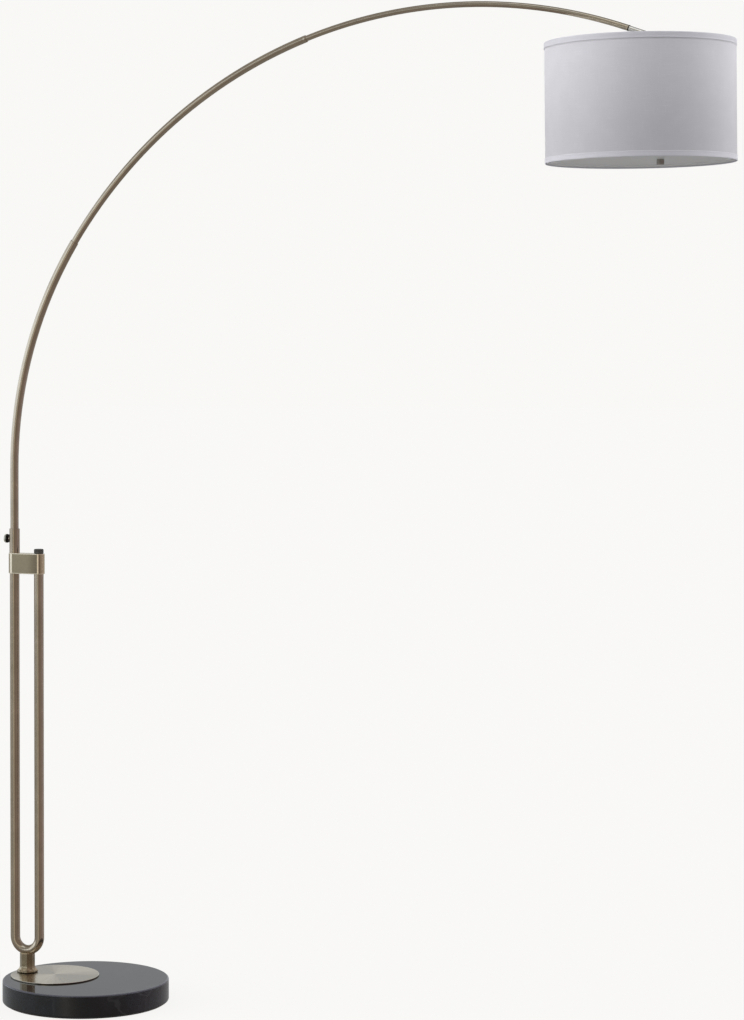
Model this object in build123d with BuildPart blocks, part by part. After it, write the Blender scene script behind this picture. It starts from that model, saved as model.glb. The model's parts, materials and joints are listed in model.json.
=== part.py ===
from build123d import *
import math
import os

os.makedirs("parts", exist_ok=True)

# Arc floor lamp: a stone slab, a forked pole, an arc of three tube sizes and a hanging drum shade.
# Millimetres, +Z up, +X from the pole towards the shade. The origin is the centre of the pad's underside.

# ---- Slab, plate and neck ----
PAD_R = 184.0
PAD_T = 2.0
SLAB_R = 190.5
SLAB_T = 50.8
SLAB_TOP_ARRIS = 3.5
SLAB_FOOT_ARRIS = 4.5
PLATE_R = 101.6
PLATE_T = 3.0
PLATE_X = -79.0
POLE_X = -150.0
NECK_FLATS = 32.0
FOOT_FLATS = 45.0
NECK_TOP = 102.4
NECK_CHAMFER = 2.0
FLARE_H = 17.0
WELL_R = 22.0
WELL_DEPTH = 28.0
GROOVE_W = 10.0
GROOVE_DEPTH = 12.0
GROOVE_LENGTH = 130.0
STUD_R = 6.0
STUD_BORE = 3.6
STUD_REACH = 33.0
STUD_DROP = 10.5
WASHER_R = 20.0
WASHER_T = 2.5
NUT_HALF = 9.5
NUT_H = 7.0
NECK_BORE = 4.5

# ---- Fork and bracket ----
LEG_R = 11.1
LEG_WALL = 1.2
LEG_SPACING = 62.0
BEND_Z = 138.1
BRACKET_FOOT = 981.0
BRACKET_TOP = 1028.0
BRACKET_END_R = 13.5
BRACKET_ARRIS = 0.7
LEFT_LEG_TOP = 1006.0
FORK_INLET_R = 4.0
GRUB_R = 2.05
GRUB_DROP = 6.0

# ---- Collar, bush and thumbscrew on the left leg ----
COLLAR_R = 12.0
COLLAR_TOP = 1084.0
BUSH_R = 10.65
BUSH_FOOT = 1034.0
THUMB_Z = 1061.0
THUMB_HEAD_R = 10.0
THUMB_REACH = 24.0
THUMB_SHANK_R = 2.5
BOSS_R = 5.0
BOSS_T = 1.6

# ---- Dimmer on the right leg ----
KNOB_R = 11.0
KNOB_FOOT = 1028.4
KNOB_TOP = 1038.6
KNOB_RECESS_R = 7.6
KNOB_RECESS_H = 2.2
KNOB_ROOF = 1.9
SHAFT_R = 3.0
DIMMER_R = 8.5
DIMMER_DEPTH = 44.0
DIMMER_H = 34.0
THREAD_R = 4.7
THREAD_H = 11.8
CAP_H = 9.0
DIMMER_NUT_HALF = 6.0
DIMMER_NUT_H = 1.6

# ---- Arc: tube radii, wall, and the two tangent bends, by how far the tube has turned from upright ----
LOWER_R = 9.525
MIDDLE_R = 7.95
UPPER_R = 6.35
ARC_WALL = 1.5
UPPER_WALL = 1.2
ARC_FOOT = 740.0
BEND_START = 1224.0
FIRST_BEND_R = 943.0
SECOND_BEND_R = 1112.0
LOWER_TURN = 33.2
MIDDLE_TURN = 70.8
SEAM_TURN = 77.25
TIP_TURN = 109.3
STUB_TURN = 3.0
COUPLING_TURN = 1.5
COUPLING_WALL = 1.15
RING_TURN = 0.09
RING_T = 0.35
SCREW_R = 1.5
SCREW_HEAD_R = 2.3
SCREW_HEAD_H = 1.3
LOWER_SCREW = (LOWER_TURN - 0.3, 1)
UPPER_SCREW = (MIDDLE_TURN - 0.2, -1)

# ---- Hanging head, measured from its tilt pin ----
PIN_Z = 2158.0
PIN_R = 2.5
EAR_FACE = 7.2
STEM_R = 5.8
SPIGOT_R = 4.2
SPIGOT_LENGTH = 14.0
EYE_R = 7.5
EYE_T = 6.0
EYE_NECK = 16.0
YOKE_FOOT = -15.0
YOKE_EAR_T = 4.0
YOKE_BASE_R = 9.0
YOKE_BASE_T = 5.5
NIPPLE_R = 4.75
NIPPLE_BORE = 3.2
HUB_R = 15.0
HUB_T = 2.0
ARM_R = 1.6
CLUSTER_R = 20.0
CLUSTER_H = 34.0
CLUSTER_WALL = 2.0
HEAD_TILT = 1.09
DRUM_OFFSET = -42.0
DRUM_R = 203.2
DRUM_H = 254.0
DRUM_FOOT = -259.0
DRUM_WALL = 1.2
HEM_T = 1.2
TOP_HEM_H = 12.7
FOOT_HEM_H = 11.5
RING_WIRE_R = 1.5
DIFFUSER_R = 194.0
DIFFUSER_T = 3.0
DIFFUSER_RISE = 6.0
BULB_R = 30.0
BULB_NECK = 50.0
BULB_CAP_R = 13.0
BULB_CAP_H = 24.0
SOCKET_R = 15.0
SOCKET_WALL = 0.8
SOCKET_BACK = 1.2
SOCKET_DROOP = 20.0
SOCKET_DROP = 17.0
SOCKET_START = 26.0
SOCKET_LENGTH = 42.0
SPOUT_R = 5.0
SPOUT_START = 16.0
CORE_H = 12.0
CONTACT_R = 4.0
CONTACT_H = 1.4
ROD_R = 3.0
ROD_TAIL = 9.0
ROD_NUT_HALF = 5.0
ROD_NUT_H = 4.0
SHADE_WASHER_R = 8.0
SHADE_WASHER_T = 1.15
FINIAL_SIDE = 12.0
FINIAL_H = 10.5
FINIAL_BORE_DEPTH = 8.0

# ---- Internal wiring ----
CABLE_R = 2.5
CABLE_RISE = 6.5
SLACK_TOP = 135.0
MAINS_SHIFT = 3.5
SWITCHED_SHIFT = 5.4
GLAND_Y = 104.0
GLAND_H = 10.6
GLAND_BORE = 3.4
GLAND_LENGTH = 10.0

# ---- Worked out from the above ----
SLAB_FOOT = PAD_T
SLAB_TOP = SLAB_FOOT + SLAB_T
PLATE_TOP = SLAB_TOP + PLATE_T
LEFT_X = POLE_X - LEG_SPACING / 2
RIGHT_X = POLE_X + LEG_SPACING / 2
LEG_BORE = LEG_R - LEG_WALL
FORK_BEND_R = LEG_SPACING / 2
WELL_TOP = SLAB_FOOT + WELL_DEPTH
GROOVE_TOP = SLAB_FOOT + GROOVE_DEPTH
CABLE_Z = SLAB_FOOT + CABLE_RISE
UPPER_BORE = UPPER_R - UPPER_WALL
GRUB_Z = (BRACKET_FOOT + BRACKET_TOP) / 2 - GRUB_DROP
DIMMER_FOOT = BRACKET_TOP - DIMMER_DEPTH
DRUM_TOP = DRUM_FOOT + DRUM_H
DIFFUSER_FOOT = DRUM_FOOT + DIFFUSER_RISE
CLUSTER_TOP = YOKE_FOOT - HUB_T
SOCKET_Z = CLUSTER_TOP - SOCKET_DROP
RING_R = DRUM_R - HEM_T - DRUM_WALL - RING_WIRE_R - 0.6

FIRST_CENTRE = (LEFT_X + FIRST_BEND_R, BEND_START)
SECOND_CENTRE = (
    FIRST_CENTRE[0] + (SECOND_BEND_R - FIRST_BEND_R) * math.cos(math.radians(LOWER_TURN)),
    FIRST_CENTRE[1] - (SECOND_BEND_R - FIRST_BEND_R) * math.sin(math.radians(LOWER_TURN)),
)


def finish(piece, name):
    """Label one finished piece and write it to its own file."""
    piece.part.label = name
    export_step(piece.part, f"parts/{name}.step")


def arc_point(turn):
    """The arc's centre line where the tube has turned this many degrees from upright."""
    centre, radius = (FIRST_CENTRE, FIRST_BEND_R) if turn <= LOWER_TURN else (SECOND_CENTRE, SECOND_BEND_R)
    angle = math.radians(turn)
    return Vector(centre[0] - radius * math.cos(angle), 0, centre[1] + radius * math.sin(angle))


def arc_heading(turn):
    """The direction the tube runs in where it has turned this many degrees from upright."""
    angle = math.radians(turn)
    return Vector(math.sin(angle), 0, math.cos(angle))


def arc_run(start, end):
    """Draw the arc's centre line between two turns, in a BuildLine on Plane.XZ."""
    if start < LOWER_TURN:
        stop = min(end, LOWER_TURN)
        CenterArc(FIRST_CENTRE, FIRST_BEND_R, 180 - start, start - stop)
    if end > LOWER_TURN:
        first = max(start, LOWER_TURN)
        CenterArc(SECOND_CENTRE, SECOND_BEND_R, 180 - first, first - end)


def screw_hole(turn, side):
    """Cut a set screw's hole through one wall of the tube in hand, at +Y or -Y."""
    with BuildSketch(Plane(arc_point(turn), z_dir=(0, side, 0))) as hole:
        Circle(SCREW_R + 0.05)
    extrude(hole.sketch, amount=LOWER_R + 5, mode=Mode.SUBTRACT)


def arc_tube(name, start, end, radius, bore, screw=None):
    """One bent tube of the arc between two turns, with a screw hole at (turn, side) where it has one."""
    with BuildPart() as tube:
        with BuildLine(Plane.XZ):
            arc_run(start, end)
        with BuildSketch(Plane(arc_point(start), z_dir=arc_heading(start))):
            Circle(radius)
            Circle(bore, mode=Mode.SUBTRACT)
        sweep()
        if screw:
            screw_hole(*screw)
    finish(tube, name)


# ================= Base =================

with BuildPart() as felt_pad:
    with BuildSketch():
        Circle(PAD_R)
        with Locations((POLE_X, 0)):
            Circle(WELL_R + 1.5, mode=Mode.SUBTRACT)
        with Locations((POLE_X, GROOVE_LENGTH / 2)):
            Rectangle(GROOVE_W, GROOVE_LENGTH, mode=Mode.SUBTRACT)
    extrude(amount=PAD_T)
finish(felt_pad, "felt_pad")

with BuildPart() as marble_base:
    with BuildSketch(Plane.XY.offset(SLAB_FOOT)):
        Circle(SLAB_R)
    extrude(amount=SLAB_T)
    fillet(marble_base.edges().group_by(Axis.Z)[-1], SLAB_TOP_ARRIS)
    fillet(marble_base.edges().group_by(Axis.Z)[0], SLAB_FOOT_ARRIS)
    # the well under the neck holds the nut, and the groove takes the cord out at the back
    with BuildSketch(Plane.XY.offset(SLAB_FOOT)):
        with Locations((POLE_X, 0)):
            Circle(WELL_R)
    extrude(amount=WELL_TOP - SLAB_FOOT, mode=Mode.SUBTRACT)
    with BuildSketch(Plane.XY.offset(WELL_TOP)):
        with Locations((POLE_X, 0)):
            Circle(STUD_R + 0.5)
    extrude(amount=SLAB_T, mode=Mode.SUBTRACT)
    with BuildSketch(Plane.XY.offset(SLAB_FOOT)):
        with Locations((POLE_X, GROOVE_LENGTH / 2)):
            Rectangle(GROOVE_W, GROOVE_LENGTH)
    extrude(amount=GROOVE_TOP - SLAB_FOOT, mode=Mode.SUBTRACT)
finish(marble_base, "marble_base")

with BuildPart() as base_plate:
    with BuildSketch(Plane.XY.offset(SLAB_TOP)):
        with Locations((PLATE_X, 0)):
            Circle(PLATE_R)
        with Locations((POLE_X, 0)):
            Circle(STUD_R + 0.3, mode=Mode.SUBTRACT)
    extrude(amount=PLATE_T)
    rim = base_plate.edges().filter_by(GeomType.CIRCLE).sort_by(SortBy.RADIUS)[-2:]
    chamfer(rim.sort_by(Axis.Z)[-1], 0.5)
finish(base_plate, "base_plate")

with BuildPart() as neck_casting:
    # four silhouettes crossed at 45 degrees leave an octagonal column that flares to its foot
    for turn in range(0, 180, 45):
        across = Plane.XZ.rotated((0, 0, turn))
        across.origin = (POLE_X, 0, 0)
        with BuildSketch(across):
            with BuildLine():
                foot = FOOT_FLATS / 2
                flat = NECK_FLATS / 2
                toe = Line((0, PLATE_TOP), (foot - 1.5, PLATE_TOP))
                heel = ThreePointArc(toe @ 1, (foot, PLATE_TOP + 2.2), (foot - 0.8, PLATE_TOP + 4.6))
                flare = TangentArc(heel @ 1, (flat, PLATE_TOP + FLARE_H), tangent=(-1, 0.75))
                side = Line(flare @ 1, (flat, NECK_TOP - NECK_CHAMFER))
                top = Line(side @ 1, (flat - NECK_CHAMFER, NECK_TOP))
                Line(top @ 1, (0, NECK_TOP))
                Line((0, NECK_TOP), (0, PLATE_TOP))
            make_face()
            mirror(about=Plane.YZ)
        extrude(amount=FOOT_FLATS, both=True, mode=Mode.INTERSECT if turn else Mode.ADD)
    with BuildSketch(Plane.XY.offset(PLATE_TOP)):
        with Locations((POLE_X, 0)):
            Circle(STUD_R + 0.05)
    extrude(amount=STUD_REACH + 1, mode=Mode.SUBTRACT)
    with BuildSketch(Plane.XY.offset(PLATE_TOP)):
        with Locations((POLE_X, 0)):
            Circle(NECK_BORE)
    extrude(amount=NECK_TOP - PLATE_TOP + 12, mode=Mode.SUBTRACT)
    # the saddle that the fork's bend is brazed into
    with BuildLine(Plane.XZ):
        CenterArc((POLE_X, BEND_Z), FORK_BEND_R, 180, 180)
    with BuildSketch(Plane.XY.offset(BEND_Z)):
        with Locations((LEFT_X, 0)):
            Circle(LEG_R + 0.03)
    sweep(mode=Mode.SUBTRACT)
finish(neck_casting, "neck_casting")

with BuildPart() as base_stud:
    with BuildSketch(Plane.XY.offset(WELL_TOP - STUD_DROP)):
        with Locations((POLE_X, 0)):
            Circle(STUD_R)
            Circle(STUD_BORE, mode=Mode.SUBTRACT)
    extrude(amount=PLATE_TOP + STUD_REACH - WELL_TOP + STUD_DROP)
finish(base_stud, "base_stud")

with BuildPart() as stud_washer:
    with BuildSketch(Plane.XY.offset(WELL_TOP - WASHER_T)):
        with Locations((POLE_X, 0)):
            Circle(WASHER_R)
            Circle(STUD_R + 0.2, mode=Mode.SUBTRACT)
    extrude(amount=WASHER_T)
finish(stud_washer, "stud_washer")

with BuildPart() as stud_nut:
    with BuildSketch(Plane.XY.offset(WELL_TOP - WASHER_T - NUT_H)):
        with Locations((POLE_X, 0)):
            RegularPolygon(NUT_HALF, 6, major_radius=False)
            Circle(STUD_R + 0.02, mode=Mode.SUBTRACT)
    extrude(amount=NUT_H)
    chamfer(stud_nut.edges().group_by(Axis.Z)[0].filter_by(GeomType.LINE), 0.6)
finish(stud_nut, "stud_nut")

with BuildPart() as cord_gland:
    # a bush pressed into the groove's mouth
    with BuildSketch(Plane.XZ.offset(-GLAND_Y)):
        with Locations((POLE_X, CABLE_Z)):
            Rectangle(GROOVE_W - 0.2, GLAND_H)
            Circle(GLAND_BORE, mode=Mode.SUBTRACT)
    extrude(amount=-GLAND_LENGTH)
finish(cord_gland, "cord_gland")

# ================= Fork, bracket and collar =================

with BuildPart() as fork_tube:
    with BuildLine(Plane.XZ):
        down = Line((LEFT_X, LEFT_LEG_TOP), (LEFT_X, BEND_Z))
        bend = CenterArc((POLE_X, BEND_Z), FORK_BEND_R, 180, 180)
        up = Line((RIGHT_X, BEND_Z), (RIGHT_X, BRACKET_TOP))
    with BuildSketch(Plane((LEFT_X, 0, LEFT_LEG_TOP), z_dir=(0, 0, -1))):
        Circle(LEG_R)
        Circle(LEG_BORE, mode=Mode.SUBTRACT)
    sweep()
    with BuildSketch(Plane.XY.offset(NECK_TOP - 14)):
        with Locations((POLE_X, 0)):
            Circle(FORK_INLET_R)
    extrude(amount=18, mode=Mode.SUBTRACT)
finish(fork_tube, "fork_tube")

with BuildPart() as bracket:
    with BuildSketch(Plane.XY.offset(BRACKET_FOOT)):
        with Locations((POLE_X, 0)):
            SlotCenterToCenter(LEG_SPACING, 2 * BRACKET_END_R)
        with Locations((LEFT_X, 0), (RIGHT_X, 0)):
            Circle(LEG_R + 0.05, mode=Mode.SUBTRACT)
    extrude(amount=BRACKET_TOP - BRACKET_FOOT)
    outer = bracket.faces().filter_by(Axis.Z).edges().filter_by(
        lambda edge: edge.geom_type == GeomType.LINE or edge.radius > LEG_R + 1
    )
    fillet(outer, BRACKET_ARRIS)
    for x in (LEFT_X, RIGHT_X):
        with BuildSketch(Plane.XZ.offset(-LEG_R)):
            with Locations((x, GRUB_Z)):
                Circle(GRUB_R + 0.05)
        extrude(amount=-6, mode=Mode.SUBTRACT)
finish(bracket, "bracket")

with BuildPart() as bracket_screws:
    for x in (LEFT_X, RIGHT_X):
        with BuildSketch(Plane.XZ.offset(-LEG_R - 0.02)):
            with Locations((x, GRUB_Z)):
                Circle(GRUB_R)
        extrude(amount=-2.2)
        with BuildSketch(Plane.XZ.offset(-LEG_R - 1)):
            with Locations((x, GRUB_Z)):
                RegularPolygon(1, 6, major_radius=False)
        extrude(amount=-2, mode=Mode.SUBTRACT)
finish(bracket_screws, "bracket_screws")

with BuildPart() as collar:
    with BuildSketch(Plane.XY.offset(LEFT_LEG_TOP + 1)):
        with Locations((LEFT_X, 0)):
            Circle(LEG_R)
    extrude(amount=BRACKET_TOP - LEFT_LEG_TOP - 1)
    with BuildSketch(Plane.XY.offset(BRACKET_TOP)):
        with Locations((LEFT_X, 0)):
            Circle(COLLAR_R)
    extrude(amount=COLLAR_TOP - BRACKET_TOP)
    chamfer(collar.edges().group_by(Axis.Z)[-1], 0.5)
    # a small boss carries the thumbscrew's thread
    with BuildSketch(Plane.YZ.offset(LEFT_X)):
        with Locations((0, THUMB_Z)):
            Circle(BOSS_R)
    extrude(amount=-COLLAR_R - BOSS_T)
    with BuildSketch(Plane.XY.offset(LEFT_LEG_TOP)):
        with Locations((LEFT_X, 0)):
            Circle(LEG_BORE)
    extrude(amount=COLLAR_TOP, mode=Mode.SUBTRACT)
    with BuildSketch(Plane.XY.offset(BUSH_FOOT)):
        with Locations((LEFT_X, 0)):
            Circle(BUSH_R + 0.05)
    extrude(amount=COLLAR_TOP, mode=Mode.SUBTRACT)
    with BuildSketch(Plane.YZ.offset(LEFT_X)):
        with Locations((0, THUMB_Z)):
            Circle(THUMB_SHANK_R + 0.05)
    extrude(amount=-COLLAR_R - 4, mode=Mode.SUBTRACT)
finish(collar, "collar")

with BuildPart() as guide_bush:
    with BuildSketch(Plane.XY.offset(BUSH_FOOT + 0.1)):
        with Locations((LEFT_X, 0)):
            Circle(BUSH_R)
            Circle(LOWER_R + 0.07, mode=Mode.SUBTRACT)
    extrude(amount=COLLAR_TOP - BUSH_FOOT - 0.4)
finish(guide_bush, "guide_bush")

with BuildPart() as thumbscrew:
    with BuildSketch(Plane.YZ.offset(LEFT_X - COLLAR_R - 2)):
        with Locations((0, THUMB_Z)):
            Circle(THUMB_HEAD_R)
    extrude(amount=-(THUMB_REACH - COLLAR_R - 2))
    fillet(thumbscrew.edges().group_by(Axis.X)[0], 1.6)
    chamfer(thumbscrew.edges().group_by(Axis.X)[-1], 0.6)
    with BuildSketch(Plane.YZ.offset(LEFT_X - BUSH_R - 0.12)):
        with Locations((0, THUMB_Z)):
            Circle(THUMB_SHANK_R)
    extrude(amount=-6)
finish(thumbscrew, "thumbscrew")

# ================= Dimmer =================

with BuildPart() as dimmer_body:
    with BuildSketch(Plane.XY.offset(DIMMER_FOOT)):
        with Locations((RIGHT_X, 0)):
            Circle(DIMMER_R)
    extrude(amount=DIMMER_H)
    with BuildSketch(Plane.XY.offset(DIMMER_FOOT + DIMMER_H)):
        with Locations((RIGHT_X, 0)):
            Circle(THREAD_R)
    extrude(amount=THREAD_H)
    with BuildSketch(Plane.XY.offset(BRACKET_TOP - THREAD_H - 0.2)):
        with Locations((RIGHT_X, 0)):
            Circle(SHAFT_R + 0.08)
    extrude(amount=THREAD_H + CAP_H, mode=Mode.SUBTRACT)
finish(dimmer_body, "dimmer_body")

with BuildPart() as leg_cap:
    with BuildSketch(Plane.XY.offset(BRACKET_TOP - CAP_H)):
        with Locations((RIGHT_X, 0)):
            Circle(LEG_BORE - 0.05)
            Circle(THREAD_R + 0.1, mode=Mode.SUBTRACT)
    extrude(amount=CAP_H)
finish(leg_cap, "leg_cap")

with BuildPart() as dimmer_nut:
    with BuildSketch(Plane.XY.offset(BRACKET_TOP + 0.02)):
        with Locations((RIGHT_X, 0)):
            RegularPolygon(DIMMER_NUT_HALF, 6, major_radius=False)
            Circle(THREAD_R + 0.05, mode=Mode.SUBTRACT)
    extrude(amount=DIMMER_NUT_H)
finish(dimmer_nut, "dimmer_nut")

with BuildPart() as dimmer_shaft:
    with BuildSketch(Plane.XY.offset(BRACKET_TOP - THREAD_H)):
        with Locations((RIGHT_X, 0)):
            Circle(SHAFT_R)
    extrude(amount=KNOB_TOP - BRACKET_TOP + THREAD_H - 2)
finish(dimmer_shaft, "dimmer_shaft")

with BuildPart() as dimmer_knob:
    with BuildSketch(Plane.XY.offset(KNOB_FOOT)):
        with Locations((RIGHT_X, 0)):
            Circle(KNOB_R)
    extrude(amount=KNOB_TOP - KNOB_FOOT)
    chamfer(dimmer_knob.edges().group_by(Axis.Z)[-1], 0.6)
    with BuildSketch(Plane.XY.offset(KNOB_FOOT)):
        with Locations((RIGHT_X, 0)):
            Circle(KNOB_RECESS_R)
    extrude(amount=KNOB_RECESS_H, mode=Mode.SUBTRACT)
    with BuildSketch(Plane.XY.offset(KNOB_FOOT)):
        with Locations((RIGHT_X, 0)):
            Circle(SHAFT_R + 0.02)
    extrude(amount=KNOB_TOP - KNOB_FOOT - KNOB_ROOF, mode=Mode.SUBTRACT)
finish(dimmer_knob, "dimmer_knob")

# ================= Arc =================

with BuildPart() as lower_tube:
    with BuildLine(Plane.XZ):
        Line((LEFT_X, ARC_FOOT), (LEFT_X, BEND_START))
        arc_run(0, LOWER_TURN)
    with BuildSketch(Plane.XY.offset(ARC_FOOT)):
        with Locations((LEFT_X, 0)):
            Circle(LOWER_R)
            Circle(LOWER_R - ARC_WALL, mode=Mode.SUBTRACT)
    sweep()
    screw_hole(*LOWER_SCREW)
finish(lower_tube, "lower_tube")

arc_tube("middle_tube", LOWER_TURN - STUB_TURN, MIDDLE_TURN, MIDDLE_R, MIDDLE_R - ARC_WALL, UPPER_SCREW)
arc_tube("connector_tube", MIDDLE_TURN - STUB_TURN, SEAM_TURN - 0.01, UPPER_R, UPPER_BORE)
arc_tube("upper_tube", SEAM_TURN + 0.01, TIP_TURN - RING_TURN - 0.01, UPPER_R, UPPER_BORE)
arc_tube(
    "tube_coupling", SEAM_TURN - COUPLING_TURN, SEAM_TURN + COUPLING_TURN, UPPER_BORE - 0.05,
    UPPER_BORE - 0.05 - COUPLING_WALL,
)
arc_tube("tip_ring", TIP_TURN - RING_TURN, TIP_TURN, UPPER_R + RING_T, SPIGOT_R + 0.1)

with BuildPart() as arc_set_screws:
    # one small dome screw holds each stepped joint: behind the lower one and in front of the upper one
    for (turn, side), outer in ((LOWER_SCREW, LOWER_R), (UPPER_SCREW, MIDDLE_R)):
        seat = arc_point(turn) + Vector(0, side * outer, 0)
        with BuildSketch(Plane(seat + Vector(0, side * 0.05, 0), z_dir=(0, side, 0))):
            Circle(SCREW_HEAD_R)
        extrude(amount=SCREW_HEAD_H)
        dome = arc_set_screws.faces().sort_by(Axis.Y)[-1 if side > 0 else 0]
        fillet(dome.edges(), 0.9)
        with BuildSketch(Plane(seat + Vector(0, side * 0.3, 0), z_dir=(0, -side, 0))):
            Circle(SCREW_R)
        extrude(amount=1.7)
finish(arc_set_screws, "arc_set_screws")

# ---- the stem runs straight on from the tip to a flat eye on the tilt pin ----
TIP = arc_point(TIP_TURN)
STEM_AXIS = arc_heading(TIP_TURN)
STEM_LENGTH = (PIN_Z - TIP.Z) / STEM_AXIS.Z
PIN = TIP + STEM_AXIS * STEM_LENGTH
STEM_PLANE = Plane(TIP, x_dir=(0, -1, 0), z_dir=STEM_AXIS)

with BuildPart() as swivel_stem:
    with BuildSketch(STEM_PLANE.offset(0.05)):
        Circle(STEM_R)
    extrude(amount=STEM_LENGTH - 11)
    chamfer(swivel_stem.edges().filter_by(GeomType.CIRCLE).sort_by(Axis.X)[-1], 1)
    with BuildSketch(STEM_PLANE.offset(-SPIGOT_LENGTH)):
        Circle(SPIGOT_R)
    extrude(amount=SPIGOT_LENGTH + 6)
    with BuildSketch(Plane(PIN + Vector(0, EYE_T / 2, 0), x_dir=STEM_AXIS, z_dir=(0, -1, 0))):
        Circle(EYE_R)
        with Locations((-EYE_NECK / 2, 0)):
            Rectangle(EYE_NECK, STEM_R * 2 - 1.6)
        Circle(PIN_R + 0.05, mode=Mode.SUBTRACT)
    extrude(amount=EYE_T)
    with BuildSketch(STEM_PLANE.offset(-SPIGOT_LENGTH - 1)):
        Circle(CABLE_R + 0.3)
    extrude(amount=STEM_LENGTH - 4, mode=Mode.SUBTRACT)
finish(swivel_stem, "swivel_stem")

# ================= Head =================

tilt = math.radians(HEAD_TILT)
HEAD = Plane(PIN, x_dir=(math.cos(tilt), 0, math.sin(tilt)), z_dir=(-math.sin(tilt), 0, math.cos(tilt)))
SIDE = Plane(PIN, x_dir=HEAD.x_dir, z_dir=(0, -1, 0))
HEAD_AXIS = Axis(PIN, HEAD.z_dir)
DRUM_AXIS = Axis(PIN + HEAD.x_dir * DRUM_OFFSET, HEAD.z_dir)


def wire_ring(height):
    """Add one of the drum's wire rings to the piece in hand."""
    with BuildSketch(SIDE) as wire:
        with Locations((DRUM_OFFSET + RING_R, height)):
            Circle(RING_WIRE_R)
    revolve(wire.sketch, axis=DRUM_AXIS)


with BuildPart() as swivel_yoke:
    for side in (-1, 1):
        ear = PIN + Vector(0, side * (EYE_T / 2 + 0.15), 0)
        with BuildSketch(Plane(ear, x_dir=HEAD.x_dir, z_dir=(0, side, 0))):
            Circle(EYE_R)
            with Locations((0, (YOKE_FOOT + 4) / 2 * side * -1)):
                Rectangle(2 * EYE_R, -YOKE_FOOT - 4, mode=Mode.ADD)
            Circle(PIN_R + 0.02, mode=Mode.SUBTRACT)
        extrude(amount=YOKE_EAR_T)
    with BuildSketch(HEAD.offset(YOKE_FOOT)):
        Circle(YOKE_BASE_R)
    extrude(amount=YOKE_BASE_T)
    with BuildSketch(HEAD.offset(YOKE_FOOT)):
        Circle(NIPPLE_R + 0.05)
    extrude(amount=YOKE_BASE_T - 1, mode=Mode.SUBTRACT)
finish(swivel_yoke, "swivel_yoke")

with BuildPart() as swivel_screw:
    with BuildSketch(Plane(PIN + Vector(0, -EAR_FACE, 0), z_dir=(0, -1, 0))):
        Circle(4.5)
    extrude(amount=2.6)
    fillet(swivel_screw.edges().sort_by(Axis.Y)[0], 1.4)
    with BuildSketch(Plane(PIN + Vector(0, -EAR_FACE, 0), z_dir=(0, 1, 0))):
        Circle(PIN_R)
    extrude(amount=2 * EAR_FACE + 4.6)
finish(swivel_screw, "swivel_screw")

with BuildPart() as swivel_nut:
    with BuildSketch(Plane(PIN + Vector(0, EAR_FACE, 0), z_dir=(0, 1, 0))):
        RegularPolygon(4, 6, major_radius=False)
        Circle(PIN_R + 0.01, mode=Mode.SUBTRACT)
    extrude(amount=4)
finish(swivel_nut, "swivel_nut")

with BuildPart() as head_nipple:
    with BuildSketch(HEAD.offset(YOKE_FOOT + 4.4)):
        Circle(NIPPLE_R)
        Circle(NIPPLE_BORE, mode=Mode.SUBTRACT)
    extrude(amount=-(4.4 + HUB_T + 9))
finish(head_nipple, "head_nipple")

with BuildPart() as shade_spider:
    ring_z = DRUM_TOP - 2 * RING_WIRE_R - 1.5
    with BuildSketch(HEAD.offset(CLUSTER_TOP + 0.02)):
        Circle(HUB_R)
        Circle(NIPPLE_R + 0.15, mode=Mode.SUBTRACT)
    extrude(amount=HUB_T - 0.04)
    wire_ring(ring_z)
    for bearing in (60, 180, 300):
        angle = math.radians(bearing)
        rim = Vector(DRUM_OFFSET + RING_R * math.cos(angle), RING_R * math.sin(angle), ring_z)
        inward = Vector(rim.X, rim.Y, 0).normalized()
        root = inward * 12 + Vector(0, 0, CLUSTER_TOP + 1.75)
        start = HEAD.from_local_coords(root)
        stop = HEAD.from_local_coords(rim)
        with BuildSketch(Plane(start, z_dir=stop - start)):
            Circle(ARM_R)
        extrude(amount=(stop - start).length)
finish(shade_spider, "shade_spider")

with BuildPart() as cluster_body:
    with BuildSketch(HEAD.offset(CLUSTER_TOP)):
        Circle(CLUSTER_R)
    extrude(amount=-CLUSTER_H)
    fillet(cluster_body.edges().filter_by(GeomType.CIRCLE), 1.5)
    with BuildSketch(HEAD.offset(CLUSTER_TOP - CLUSTER_WALL)):
        Circle(CLUSTER_R - CLUSTER_WALL)
    extrude(amount=-(CLUSTER_H - 2 * CLUSTER_WALL), mode=Mode.SUBTRACT)
    with BuildSketch(HEAD.offset(CLUSTER_TOP + 1)):
        Circle(NIPPLE_R + 0.1)
    extrude(amount=-4, mode=Mode.SUBTRACT)
    with BuildSketch(HEAD.offset(CLUSTER_TOP - CLUSTER_H + 3)):
        Circle(ROD_R + 0.1)
    extrude(amount=-4, mode=Mode.SUBTRACT)
    for side in (-1, 1):
        port = Vector(0, side * math.cos(math.radians(SOCKET_DROOP)), -math.sin(math.radians(SOCKET_DROOP)))
        with BuildSketch(Plane(HEAD.from_local_coords(Vector(0, 0, SOCKET_Z)),
                               z_dir=HEAD.from_local_coords(port) - PIN)):
            Circle(SPOUT_R + 0.1)
        extrude(amount=30, mode=Mode.SUBTRACT)
finish(cluster_body, "cluster_body")

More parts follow.
